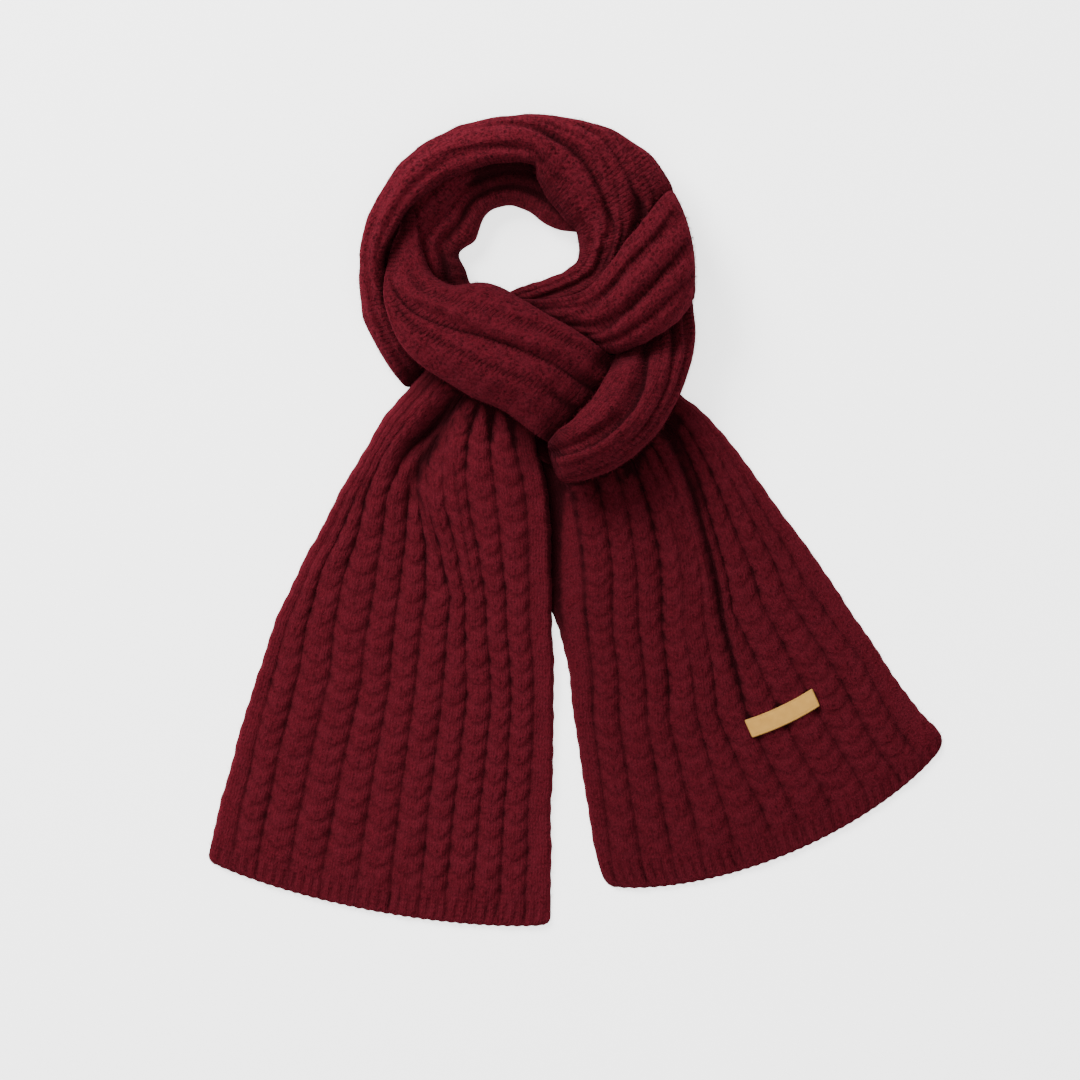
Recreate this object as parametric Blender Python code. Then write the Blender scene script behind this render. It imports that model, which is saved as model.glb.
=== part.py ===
"""Chunky ribbed knit scarf, knotted and laid flat on a surface.

Sizes are in millimetres and are turned into metres when a mesh is made.
The scarf rests on z = 0, +X runs across it, +Y points from the hems to the
neck ring, and +Z is up out of the surface.
"""
import bpy
import numpy as np
from mathutils import Vector
from mathutils.bvhtree import BVHTree

# ---------------------------------------------------------------- sizes (mm)
WALL = 4.0              # knitted cloth between the ribs
RIB_RISE = 2.8          # ribs stand this far above the cloth
LOBE_PITCH = 13.8       # one lobe of the knitted rib, along the scarf
LOBE_RISE = 0.8         # lobe against its neighbour
LOBE_BEND = 0.22        # how far a lobe hangs at its middle, of its pitch
HEM_DEPTH = 16.0        # fine rib along the hem
TAIL_EDGE = 3.4         # rounding of a tail's long edges
GAP = 0.45              # room left between two stretches of cloth
SEAT_GAP = 0.35         # and where one carries the next
RIBS = 10               # raised ribs between the two plain selvages
LABEL_SIZE = (54.0, 14.0, 1.2)
LABEL_CORNERS = ((121.7, -144.0), (170.6, -121.0), (127.4, -156.7))
LABEL_SAG = 1.8

# Sections of each stretch. The two points are the edges of the stretch in
# plan, and bow is how far the section swells past the straight line.
# columns: first x, first y, second x, second y, bow
TAIL_LEFT = (
    (-104.4, 110.9, -28.1, 76.3, 0),
    (-121, 92.9, -27.4, 59, 1.4),
    (-135.4, 76.6, -24.5, 41.8, 2.9),
    (-148.6, 53.6, -20.4, 23, 3.6),
    (-164, 29, -18, 0, 4.3),
    (-180.2, -2, -17.3, -27.4, 5),
    (-197.2, -34.4, -17, -60.5, 5.8),
    (-211.6, -64, -16, -93.6, 6.5),
    (-224.4, -100.2, -15.6, -129.6, 7.2),
    (-236, -136.2, -16, -165.6, 8.6),
    (-247.2, -175.8, -17.4, -208.8, 10.5),
    (-257.6, -215.2, -17.6, -250.6, 12.6),
    (-264, -244.4, -18, -290.4, 14.2),
)
TAIL_RIGHT = (
    (-26.5, 50, 67, 97.2, 0),
    (-24, 33, 77, 88.5, 1.4),
    (-20.6, 12.2, 94.2, 75.2, 4.3),
    (-18.4, -14.4, 117, 48.4, 5.8),
    (-18.2, -43.2, 140.2, 16, 7.2),
    (-16.2, -63.4, 164, -16.4, 9.4),
    (-10.8, -80.6, 180.9, -39.6, 13),
    (-4.6, -108, 199.2, -67, 17.3),
    (-0.6, -140.4, 217.2, -94, 21.6),
    (4.6, -176.4, 234.6, -120, 25),
    (10.4, -212.4, 250.4, -140.4, 28.8),
    (16.2, -243.4, 262, -153, 29.8),
    (22.3, -262.1, 264.2, -161.6, 29.8),
)
# The valleys beside the ribs, as shares of the way across each section.
# columns: section, then valley 1 to 11 from the first edge to the second
VALLEYS_LEFT = (
    (0, .050, .110, .180, .329, .374, .408, .439, .477, .520, .640, .791),
    (2, .040, .080, .130, .287, .361, .404, .437, .482, .532, .680, .855),
    (3, .032, .060, .095, .198, .309, .356, .397, .454, .552, .709, .875),
    (4, .034, .071, .107, .204, .308, .356, .395, .488, .610, .750, .894),
    (5, .038, .078, .151, .258, .361, .452, .515, .589, .687, .789, .906),
    (6, .034, .080, .172, .300, .399, .504, .603, .661, .742, .822, .914),
    (8, .046, .128, .233, .343, .439, .529, .623, .706, .791, .859, .935),
    (12, .070, .144, .238, .332, .438, .538, .626, .699, .775, .856, .930),
)
VALLEYS_RIGHT = (
    (0, .100, .220, .340, .440, .530, .604, .671, .743, .815, .878, .941),
    (1, .116, .263, .387, .486, .570, .638, .721, .791, .874, .938, .975),
    (2, .145, .300, .418, .523, .600, .663, .758, .813, .877, .938, .975),
    (4, .153, .272, .378, .478, .520, .624, .685, .729, .812, .893, .947),
    (6, .100, .190, .285, .369, .415, .518, .592, .636, .748, .843, .923),
    (8, .058, .140, .228, .298, .389, .453, .545, .645, .751, .864, .950),
    (10, .044, .121, .204, .285, .377, .479, .561, .660, .763, .852, .929),
    (12, .026, .103, .187, .263, .351, .464, .546, .642, .750, .850, .923),
)
# How far the bunched cloth lifts the top face, over the flat cloth.
# columns: section, then the lift at valley 0 (edge), 1, 3, 4, 5, 6, 7, 8, 10,
# 11 and 12 (other edge)
LIFT_AT = (0, 1, 3, 4, 5, 6, 7, 8, 10, 11, 12)
LIFT_LEFT = (
    (0, 8, 14, 18, 14, 16, 18, 20, 22, 24, 22, 16),
    (1, 6, 14, 19, 12, 13, 16, 19, 22, 23, 21, 14),
    (2, 5, 13, 17, 9, 8, 12, 16, 20, 22, 20, 13),
    (3, 4, 10, 13, 8, 6, 8, 13, 17, 19, 18, 12),
    (4, 3, 7, 9, 7, 5, 6, 10, 14, 16, 15, 10),
    (6, 1, 3, 4, 4, 4, 5, 7, 8, 9, 9, 6),
    (8, 0, 1, 2, 2, 2, 3, 3, 4, 5, 5, 3),
    (10, 0, 1, 1, 0, 1, 1, 1, 1, 2, 2, 1),
    (12, 0, 0, 0, 0, 0, 0, 0, 0, 0, 0, 0),
)
LIFT_RIGHT = (
    (0, 0, 8, 16, 17, 18, 19, 20, 14, 14, 12, 8),
    (1, 0, 8, 16, 15, 16, 19, 22, 13, 15, 12, 7),
    (2, 0, 9, 15, 13, 15, 18, 21, 10, 14, 10, 4),
    (3, 0, 9, 12, 11, 13, 15, 18, 8, 11, 7, 3),
    (4, 0, 8, 10, 9, 10, 12, 14, 6, 8, 5, 2),
    (5, 1, 7, 8, 6, 8, 9, 10, 5, 6, 4, 1),
    (6, 2, 5, 6, 5, 6, 6, 7, 4, 4, 3, 1),
    (8, 1, 2, 3, 2, 3, 3, 3, 3, 2, 2, 0),
    (12, 0, 0, 0, 0, 0, 0, 0, 0, 0, 0, 0),
)
# Valleys that run deeper as folds.
# columns: valley, first section, deepest section, last section, depth, width
FOLDS_LEFT = (
    (4, 0.3, 1.8, 4.4, 8.0, 6.0),
    (3, 1.6, 3.4, 6.5, 3.0, 5.0),
    (5, 2.4, 3.6, 6.0, 3.5, 5.0),
    (6, 3.4, 5.0, 7.5, 1.5, 4.0),
    (8, 1.5, 4.0, 6.5, 1.2, 4.0),
    (9, -1.0, 1.0, 3.4, 3.2, 3.6),
    (10, -1.0, 0.8, 3.0, 3.4, 3.6),
    (11, 0.5, 3.0, 6.0, 1.5, 4.0),
)
FOLDS_RIGHT = (
    (7, 0.2, 2.6, 7.5, 5.5, 4.5),
    (8, 0.6, 2.2, 4.6, 4.0, 7.0),
    (4, -1.0, 1.2, 4.0, 4.5, 7.0),
    (3, -1.0, 0.6, 3.0, 3.0, 3.6),
    (2, -1.0, 1.0, 4.0, 1.6, 3.6),
    (6, 0.5, 2.5, 6.0, 1.2, 4.0),
    (9, 1.0, 3.5, 6.0, 1.6, 6.0),
)
# Bands of the neck ring and the knot.
LOOP_OUTER = (
    (-119.9, 92.2, -103.3, 109.8, 0),
    (-124.5, 97.9, -106.6, 115.9, 0),
    (-138.8, 117.5, -112, 127, 0),
    (-151.5, 143, -122.5, 149.8, 0),
    (-154.8, 169.2, -131, 170.6, 0),
    (-154.8, 185.8, -136.4, 185.8, 0),
    (-153.2, 202, -133.2, 199.4, 0),
    (-148.6, 217.2, -125.3, 213.1, 0),
    (-141.1, 232.6, -116.6, 225.4, 0),
    (-125.6, 255.9, -98.6, 239, 0),
    (-100.6, 275, -78.5, 249.1, 0),
    (-64.8, 287.6, -52.6, 255.6, 0),
    (-32.4, 291, -31, 254.9, 0),
    (-7.2, 288.6, -27, 243.4, 0),
    (21.6, 282.2, -19.6, 230.2, 0),
    (49.5, 266.4, -9, 217, 0),
    (67.4, 249.4, 0.4, 207.4, 0),
    (63.4, 224, 2.2, 198, 0),
    (55.5, 196.5, 1.8, 188.6, 0),
    (48, 170, -5, 180.3, 0),
    (20, 151, -21.4, 173.3, 0),
    (-14, 142, -40.2, 167, 0),
    (-46, 140, -56.2, 160.6, 0),
)
LOOP_INNER = (
    (81.4, 181.4, 46.8, 169.2, 0),
    (78.5, 207.4, 33.8, 185.8, 0),
    (68.4, 233.3, 18, 201.6, 0),
    (51, 254, 1, 206.2, 0),
    (17, 276, -17, 209.8, 0),
    (-25.2, 287, -37, 222.7, 0),
    (-62, 283.5, -51.2, 225.2, 0),
    (-99, 270.5, -64.6, 217.4, 0),
    (-126, 247, -71, 201, 0),
    (-143, 219, -82.6, 191.5, 0),
    (-149, 190, -78, 179.8, 0),
    (-144, 162, -74.6, 171, 0),
    (-122, 138, -62.6, 159.8, 0),
)
BAND_FRONT = (
    (-126, 226.1, -116.6, 227.5, 0),
    (-126, 211.5, -112.5, 211.2, 0),
    (-132.8, 192.2, -109.4, 193, 0),
    (-137, 174.2, -101.5, 176.4, 0),
    (-136.8, 154.8, -87.8, 168.5, 0),
    (-129.6, 133.2, -69.8, 170.8, 0),
    (-115.2, 114.5, -51.4, 166.8, 0),
    (-97.2, 101.5, -34.6, 156.2, 0),
    (-74.2, 87.8, -15.8, 145.4, 0),
    (-50.4, 77, 3.6, 133.9, 0),
    (-27.4, 60.5, 22.6, 120.4, 0),
    (-8, 48.5, 40, 107, 0),
)
BAND_RIGHT = (
    (68.2, 238.5, 83.4, 157, -8.6),
    (59, 228, 83.4, 154.1, -6),
    (46.8, 213.1, 77.6, 146, -3),
    (32.4, 195.1, 65.5, 135.4, 0),
    (18, 175, 47.5, 125.3, 0),
    (2.9, 163.4, 28.8, 118.8, 0),
    (-19.4, 159.1, 12.2, 124, 0),
    (-38.2, 158.4, -10.8, 124, 0),
    (-51.8, 152.6, -32.4, 122.4, 0),
)
BAND_LOWER = (
    (34, 146, 84, 160.6, 0),
    (31, 134, 85.4, 151, 0),
    (28.1, 118.1, 87.4, 133.2, 0),
    (23.8, 107.3, 84.6, 116.2, 0),
    (18, 97.2, 77.8, 94.6, 0),
    (10.8, 86.4, 68.4, 75.6, 0),
    (1.4, 76.3, 56.2, 57.6, 0),
    (-9.4, 67, 38.2, 41.8, 0),
    (-16.6, 62.6, 16.6, 31, 0),
    (-22.4, 59.8, -3, 25.9, 0),
    (-27, 57.6, -17, 25.2, 0),
)
CORE = (
    (-88, 116, -84, 109, 0),
    (-66, 118, -68, 102, 0),
    (-30, 120, -34, 92, 0),
    (2, 120, 2, 78, 0),
    (32, 119, 26, 86, 0),
    (54, 112, 50, 102, 0),
)
# Heights of each band, one row for each of its sections.
# columns: underside, crown, first edge, second edge
HIGH_OUTER = (
    (0.3, 3, 1.4, 1.4), (0.3, 14, 5, 8), (3, 30, 10, 18), (6, 38, 16, 26),
    (14, 45, 26, 34), (22, 50, 33, 40), (26, 54, 37, 42), (27, 56, 38, 42),
    (27, 57, 38, 42), (27, 58, 38, 42), (27, 58, 38, 42), (27, 58, 38, 42),
    (27, 58, 38, 42), (27, 57, 38, 38), (26, 56, 38, 30), (24, 55, 37, 24),
    (20, 53, 36, 18), (14, 50, 34, 14), (10, 46, 30, 12), (8, 38, 22, 12),
    (6, 30, 16, 12), (4, 26, 12, 12), (4, 20, 10, 10),
)
HIGH_INNER = (
    (0, 10, 6, 5), (0, 16, 9, 6), (0, 20, 11, 6), (0, 22, 12, 5),
    (0, 25, 12, 6), (0, 26, 12, 7),
    (0, 26, 12, 7), (0, 26, 12, 7), (0, 25, 12, 7), (0, 24, 12, 7),
    (0, 22, 11, 6), (0, 18, 9, 6), (0, 14, 8, 6),
)
HIGH_FRONT = (
    (27, 35, 31, 31), (26, 38, 31, 31), (22, 43, 33, 30), (24, 50, 42, 30),
    (30, 58, 50, 32), (34, 62, 52, 34), (34, 65, 48, 38), (30, 67, 42, 42),
    (26, 67, 38, 46), (26, 64, 36, 48), (31, 53, 35, 43), (22, 35, 27, 28),
)
HIGH_RIGHT = (
    (18, 50, 44, 22), (26, 59, 51, 28), (40, 66, 54, 42), (42, 68, 56, 46),
    (40, 64, 50, 42), (29, 52, 44, 29), (28, 46, 38, 29), (30, 44, 36, 36),
    (30, 40, 34, 34),
)
HIGH_LOWER = (
    (6, 26, 16, 12), (8, 34, 22, 16), (10, 40, 26, 20), (12, 51, 45, 24),
    (16, 58, 52, 28), (24, 66, 60, 32), (30, 70, 64, 36), (34, 70, 64, 40),
    (34, 68, 60, 40), (32, 60, 52, 38), (30, 46, 38, 36),
)
HIGH_CORE = (
    (0, 6, 2, 2), (0, 18, 6, 6), (0, 24, 8, 8), (0, 26, 8, 8),
    (0, 22, 7, 7), (0, 7, 2, 2),
)
# Folds along each band, as shares of the way across.
# columns: section, then one share for each fold
FOLDS_OUTER = (
    (0, .12, .35, .70), (6, .10, .30, .70), (10, .05, .12, .60),
    (12, .06, .24, .71), (14, .12, .40, .70), (16, .30, .63, .80),
    (18, .34, .67, .82), (20, .30, .67, .83), (22, .25, .60, .80),
)
FOLDS_INNER = (
    (0, .35, .60, .80), (5, .35, .58, .76), (7, .35, .58, .76),
    (10, .35, .55, .78), (12, .35, .55, .78),
)
FOLDS_FRONT = (
    (0, .08, .35, .70), (3, .06, .14, .65), (4, .06, .27, .68),
    (5, .07, .42, .74), (7, .07, .52, .80), (9, .08, .66, .86),
    (11, .10, .68, .86),
)
FOLDS_BAND_RIGHT = (
    (0, .28, .55, .78), (4, .21, .54, .79), (8, .25, .58, .82),
)
FOLDS_LOWER = (
    (0, .40, .70, .88), (3, .44, .76, .90), (5, .50, .80, .92),
    (8, .32, .72, .88), (10, .32, .70, .86),
)
# Depths of those folds. columns: one depth for each fold, then rib swell
DEPTH_OUTER = (2.0, 4.5, 2.5, 3.0)
DEPTH_INNER = (2.0, 3.0, 4.5, 2.0)
DEPTH_FRONT = (1.6, 4.0, 0.8, 3.0)
DEPTH_RIGHT = (3.0, 4.0, 2.0, 2.6)
DEPTH_LOWER = (5.0, 3.0, 2.5, 2.6)


# ------------------------------------------------------------ shape helpers
def spread(table, places):
    """Rows of a table read between its rows, along a smooth curve."""
    rows = np.array(table, float)
    padded = np.vstack([2 * rows[0] - rows[1], rows, 2 * rows[-1] - rows[-2]])
    places = np.clip(np.asarray(places, float), 0, len(rows) - 1)
    base = np.minimum(places.astype(int), len(rows) - 2)
    t = (places - base)[:, None]
    a, b, c, d = (padded[base + k] for k in range(4))
    return 0.5 * (2 * b + (c - a) * t + (2 * a - 5 * b + 4 * c - d) * t ** 2
                  + (3 * b - a - 3 * c + d) * t ** 3)


def keyed(table, places):
    """A table whose first column is the section its row belongs to."""
    rows = np.array(table, float)
    columns = [np.interp(places, rows[:, 0], rows[:, k])
               for k in range(1, rows.shape[1])]
    return np.stack(columns, axis=1)


def plan(table, places, across):
    """Points in plan: a section's straight line with its bow added."""
    rows = spread(table, places)
    first = rows[:, None, 0:2]
    chord = rows[:, None, 2:4] - first
    out = np.stack([chord[..., 1], -chord[..., 0]], axis=-1)
    out = out / np.linalg.norm(out, axis=-1, keepdims=True)
    swell = np.clip(4 * across * (1 - across), 0, 1) ** 0.8
    points = first + chord * across[..., None]
    return points + out * (swell * rows[:, 4:5])[..., None]


def rib_places(valleys, across):
    """Which rib a place lies in: the whole part counts the valleys."""
    count = valleys.shape[1]
    ends = np.hstack([np.zeros((len(valleys), 1)), valleys,
                      np.ones((len(valleys), 1))])
    return np.stack([np.interp(a, e, np.arange(count + 2))
                     for a, e in zip(across, ends)])


def columns_for(valleys, steps):
    """Places across a section: the same few steps in every rib."""
    ends = np.hstack([np.zeros((len(valleys), 1)), valleys,
                      np.ones((len(valleys), 1))])
    where = np.arange(0, ends.shape[1] - 1 + 1e-6, 1.0 / steps)
    return np.stack([np.interp(where, np.arange(ends.shape[1]), e)
                     for e in ends])


def hump(value, start, middle, end):
    """0 at the start and the end, 1 at the middle, smooth between."""
    up = np.clip((value - start) / (middle - start), 0, 1)
    down = np.clip((end - value) / (end - middle), 0, 1)
    t = np.minimum(up, down)
    return t * t * (3 - 2 * t)


def ribs(place):
    """Height of the ribs, 0 in a valley and 1 on a crown."""
    part = place - np.floor(place)
    return 1 - np.abs(2 * part - 1) ** 3


# ---------------------------------------------------------------- the tails
def tail(table, valleys, lift, folds):
    """A tail's top face, from the knot (row 0) to the hem (last row)."""
    fine = np.linspace(0, len(table) - 1, 241)
    mid = plan(table, fine, np.full((241, 1), 0.5))[:, 0]
    run = np.append(0, np.cumsum(np.linalg.norm(np.diff(mid, axis=0), axis=1)))
    rows = int(round(run[-1] / LOBE_PITCH)) * 2
    along = np.linspace(0, run[-1], rows + 1)
    places = np.interp(along, run, fine)
    edges = keyed(valleys, places)
    inner = columns_for(edges, 3)
    span = spread(table, places)
    width = np.hypot(span[:, 2] - span[:, 0], span[:, 3] - span[:, 1])
    rim = (TAIL_EDGE / width)[:, None]
    inside = np.clip(inner[:, 1:-1], rim * 0.6, 1 - rim * 0.6)
    across = np.hstack([inner[:, :1], rim * 0.3, inside, 1 - rim * 0.3, inner[:, -1:]])
    across = np.maximum.accumulate(across, axis=1)
    place = rib_places(edges, across)
    plain = (place < 1) | (place > RIBS + 1)
    part = place - np.floor(place)
    hang = LOBE_BEND * (1 - (2 * part - 1) ** 2)
    lobe = np.where(plain, 0, np.cos(2 * np.pi * (along[:, None] / LOBE_PITCH)))
    to_hem = run[-1] - along[:, None]
    calm = np.clip((to_hem - HEM_DEPTH) / 8.0, 0, 1)
    lifted = keyed(lift, places)
    raised = np.stack([np.interp(p, LIFT_AT, v) for p, v in zip(place, lifted)])
    crown = np.where(plain, 0.35, ribs(place))
    top = WALL + raised + RIB_RISE * crown * (0.25 + 0.75 * calm)
    top = top + LOBE_RISE * 0.5 * lobe * crown * calm
    for valley, start, deepest, end, depth, reach in folds:
        centre = edges[:, valley - 1:valley]
        off = (across - centre) * width[:, None] / reach
        top = top - depth * hump(places, start, deepest, end)[:, None] * np.exp(-off ** 2)
    top = np.maximum(top, 2.6)
    inset = np.minimum(across, 1 - across) * width[:, None]
    hem_inset = np.minimum(inset, to_hem + 0.6)
    rounding = np.sqrt(1 - (1 - np.clip(hem_inset / TAIL_EDGE, 0, 1)) ** 2)
    edge_high = 0.42 * top
    top = edge_high + (top - edge_high) * np.maximum(rounding, 0)
    step = (places[1] - places[0]) * 0.5
    shifted = np.clip(places[:, None] + hang * step * calm * 2, 0, len(table) - 1)
    points = np.stack([plan(table, shifted[:, k], across[:, k:k + 1])[:, 0]
                       for k in range(across.shape[1])], axis=1)
    return np.concatenate([points, top[..., None]], axis=-1)


def tail_under(table, top):
    """A tail's flat underside, tucked in under its edges and its hem."""
    rows = len(top)
    mid = plan(table, np.linspace(0, len(table) - 1, 97), np.full((97, 1), 0.5))[:, 0]
    mid_run = np.append(0, np.cumsum(np.hypot(*np.diff(mid, axis=0).T)))
    along = np.linspace(0, mid_run[-1], rows)
    along[-1] -= 2.0
    places = np.interp(along, mid_run, np.linspace(0, len(table) - 1, 97))
    span = spread(table, places)
    width = np.hypot(span[:, 2] - span[:, 0], span[:, 3] - span[:, 1])
    left = np.minimum(top[:, 0, 2] * 0.8, 5.0) / width
    right = np.minimum(top[:, -1, 2] * 0.8, 5.0) / width
    share = np.linspace(0, 1, 9)
    across = left[:, None] + (1 - left - right)[:, None] * share
    points = plan(table, places, across)
    return np.concatenate([points, np.zeros((rows, 9, 1))], axis=-1)


def zip_faces(upper, lower):
    """Triangles between two rows of points that share their ends' order."""
    faces = []
    i = 0
    j = 0
    while i < len(upper) - 1 or j < len(lower) - 1:
        ahead_i = (i + 1) / max(len(upper) - 1, 1)
        ahead_j = (j + 1) / max(len(lower) - 1, 1)
        if j >= len(lower) - 1 or (i < len(upper) - 1 and ahead_i <= ahead_j):
            faces.append((upper[i], upper[i + 1], lower[j]))
            i += 1
        else:
            faces.append((upper[i], lower[j + 1], lower[j]))
            j += 1
    return faces


def solid_faces(rows, cols, low_cols):
    """Faces of a closed stretch: top grid, underside grid, sides and ends."""
    top = np.arange(rows * cols).reshape(rows, cols)
    low = rows * cols + np.arange(rows * low_cols).reshape(rows, low_cols)
    faces = []
    for r in range(rows - 1):
        for c in range(cols - 1):
            faces.append((top[r, c], top[r + 1, c], top[r + 1, c + 1], top[r, c + 1]))
        for c in range(low_cols - 1):
            faces.append((low[r, c], low[r, c + 1], low[r + 1, c + 1], low[r + 1, c]))
        faces.append((top[r, 0], low[r, 0], low[r + 1, 0], top[r + 1, 0]))
        faces.append((top[r, -1], top[r + 1, -1], low[r + 1, -1], low[r, -1]))
    faces += zip_faces(list(top[0]), list(low[0]))
    faces += [f[::-1] for f in zip_faces(list(top[-1]), list(low[-1]))]
    return [tuple(int(v) for v in f) for f in faces]


# ---------------------------------------------------------------- the bands
def band(table, heights, folds, depths, steps, rows):
    """Top and underside of a bunched stretch of the scarf."""
    places = np.linspace(0, len(table) - 1, rows)
    edges = keyed(folds, places)
    across = columns_for(edges, steps)
    rim = np.array([0.0, 0.012, 0.035])
    inside = across[:, 1:-1]
    inside = np.clip(inside, 0.06, 0.94)
    count = len(places)
    across = np.hstack([np.tile(rim, (count, 1)), inside, np.tile(1 - rim[::-1], (count, 1))])
    across = np.maximum.accumulate(across, axis=1)
    high = spread(heights, places)
    under, crown, edge_a, edge_b = (high[:, k:k + 1] for k in range(4))
    place = rib_places(edges, across)
    dome = np.sqrt(1 - np.abs(2 * across - 1) ** 2.6)
    edge = edge_a + (edge_b - edge_a) * across
    top = edge + (crown - edge) * dome
    swell = np.where((across > 0.02) & (across < 0.98), ribs(place) - 0.5, 0)
    top = top + depths[3] * swell * dome
    span = spread(table, places)
    width = np.hypot(span[:, 2] - span[:, 0], span[:, 3] - span[:, 1])[:, None]
    for k in range(3):
        off = (across - edges[:, k:k + 1]) * width / 4.0
        top = top - depths[k] * np.exp(-off ** 2) * dome
    top = np.maximum(top, edge)
    low_across = np.tile((1 - np.cos(np.linspace(0, np.pi, 11)[1:-1])) / 2, (count, 1))
    low_edge = edge_a + (edge_b - edge_a) * low_across
    low = low_edge - (low_edge - under) * np.sqrt(1 - np.abs(2 * low_across - 1) ** 3)
    tops = np.concatenate([plan(table, places, across), top[..., None]], axis=-1)
    lows = np.concatenate([plan(table, places, low_across), low[..., None]], axis=-1)
    return tops, lows


# ------------------------------------------------------- pressing together
def tree_of(tops, lows):
    rows, cols = tops.shape[:2]
    points = np.vstack([tops.reshape(-1, 3), lows.reshape(-1, 3)])
    faces = solid_faces(rows, cols, lows.shape[1])
    return BVHTree.FromPolygons([tuple(p) for p in points], faces)


def probe(tree, point, reach, upward):
    """Height of the solid over a point, its extreme within a small reach."""
    found = None
    for turn in range(17):
        ring = (0.0, reach, reach * 0.5)[(turn + 7) // 8 if turn else 0]
        x = point[0] + ring * np.cos(turn * np.pi / 4)
        y = point[1] + ring * np.sin(turn * np.pi / 4)
        start = Vector((x, y, -90.0 if upward else 190.0))
        hit = tree.ray_cast(start, Vector((0, 0, 1.0 if upward else -1.0)))[0]
        if hit is None:
            continue
        if found is None or (hit.z < found if upward else hit.z > found):
            found = hit.z
    return found


def press(over, under, reach, floor_under, low_y=-999, high_y=999):
    """Lets one stretch lie on another: over's underside is lifted to the
    other's top face, and then that top face is pressed down where the upper
    stretch needs the room."""
    over_top, over_low = over
    under_top, under_low = under
    tree = tree_of(under_top, under_low)
    rows, cols = over_top.shape[:2]
    low_cols = over_low.shape[1]
    if not floor_under:
        for r in range(rows):
            if not low_y < over_top[r, :, 1].mean() < high_y:
                continue
            for c in (0, cols - 1):
                high = probe(tree, over_top[r, c], reach, False)
                if high is not None and over_top[r, c, 2] > high - 16:
                    over_top[r, c, 2] = max(over_top[r, c, 2], high + GAP)
            for c in range(low_cols):
                share = (c + 1) / (low_cols + 1) * (cols - 1)
                own = np.interp(share, np.arange(cols), over_top[r, :, 2])
                high = probe(tree, over_low[r, c], reach, False)
                if high is not None:
                    room = min(high + GAP, own - 7.0)
                    over_low[r, c, 2] = max(over_low[r, c, 2], room)
    tree = tree_of(over_top, over_low)
    for part in (under_top, under_low):
        for r in range(part.shape[0]):
            for c in range(part.shape[1]):
                if not low_y < part[r, c, 1] < high_y:
                    continue
                low = probe(tree, part[r, c], reach, True)
                if low is not None and part[r, c, 2] > low - GAP:
                    part[r, c, 2] = max(low - GAP, 0.3 if part is under_top else 0.0)


def seat(over, under):
    """Lifts the covered top points of one stretch until it just carries the
    stretch above it."""
    over_tree = tree_of(*over)
    under_tree = tree_of(*under)
    top = under[0]
    room = []
    covered = []
    for r in range(top.shape[0]):
        for c in range(top.shape[1]):
            low = probe(over_tree, top[r, c], 0.1, True)
            if low is not None and low > top[r, c, 2]:
                covered.append((r, c))
                room.append(low - top[r, c, 2])
    for point in over[1].reshape(-1, 3):
        high = probe(under_tree, point, 0.1, False)
        if high is not None and high < point[2]:
            room.append(point[2] - high)
    lift = min(room) - SEAT_GAP
    for r, c in covered:
        top[r, c, 2] += max(lift, 0.0)


# ------------------------------------------------------------------ objects
def cloth(name, color, roughness):
    material = bpy.data.materials.new(name)
    material.use_nodes = True
    shader = material.node_tree.nodes["Principled BSDF"]
    shader.inputs["Base Color"].default_value = (*color, 1.0)
    shader.inputs["Roughness"].default_value = roughness
    return material


def add(name, tops, lows, material, shift):
    rows, cols = tops.shape[:2]
    points = np.vstack([tops.reshape(-1, 3), lows.reshape(-1, 3)])
    points = (points + shift) * 0.001
    faces = solid_faces(rows, cols, lows.shape[1])
    across = tops[rows // 2, -1, :2] - tops[rows // 2, 0, :2]
    ahead = tops[rows // 2 + 1, 0, :2] - tops[rows // 2, 0, :2]
    if across[0] * ahead[1] - across[1] * ahead[0] > 0:
        faces = [face[::-1] for face in faces]
    mesh = bpy.data.meshes.new(name)
    mesh.from_pydata([tuple(p) for p in points], [], faces)
    mesh.validate()
    for face in mesh.polygons:
        face.use_smooth = True
    mesh.materials.append(material)
    item = bpy.data.objects.new(name, mesh)
    bpy.context.scene.collection.objects.link(item)
    return item


for item in list(bpy.data.objects):
    bpy.data.objects.remove(item, do_unlink=True)

left_top = tail(TAIL_LEFT, VALLEYS_LEFT, LIFT_LEFT, FOLDS_LEFT)
right_top = tail(TAIL_RIGHT, VALLEYS_RIGHT, LIFT_RIGHT, FOLDS_RIGHT)
stretches = {
    "tail_left": (left_top, tail_under(TAIL_LEFT, left_top)),
    "tail_right": (right_top, tail_under(TAIL_RIGHT, right_top)),
    "loop_outer": band(LOOP_OUTER, HIGH_OUTER, FOLDS_OUTER, DEPTH_OUTER, 3, 45),
    "loop_inner": band(LOOP_INNER, HIGH_INNER, FOLDS_INNER, DEPTH_INNER, 3, 27),
    "band_front": band(BAND_FRONT, HIGH_FRONT, FOLDS_FRONT, DEPTH_FRONT, 3, 32),
    "band_right": band(BAND_RIGHT, HIGH_RIGHT, FOLDS_BAND_RIGHT, DEPTH_RIGHT, 3, 24),
    "band_lower": band(BAND_LOWER, HIGH_LOWER, FOLDS_LOWER, DEPTH_LOWER, 3, 30),
    "knot_core": band(CORE, HIGH_CORE, FOLDS_INNER[:1] + FOLDS_INNER[-1:],
                      (0, 0, 0, 0), 1, 9),
}
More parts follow.
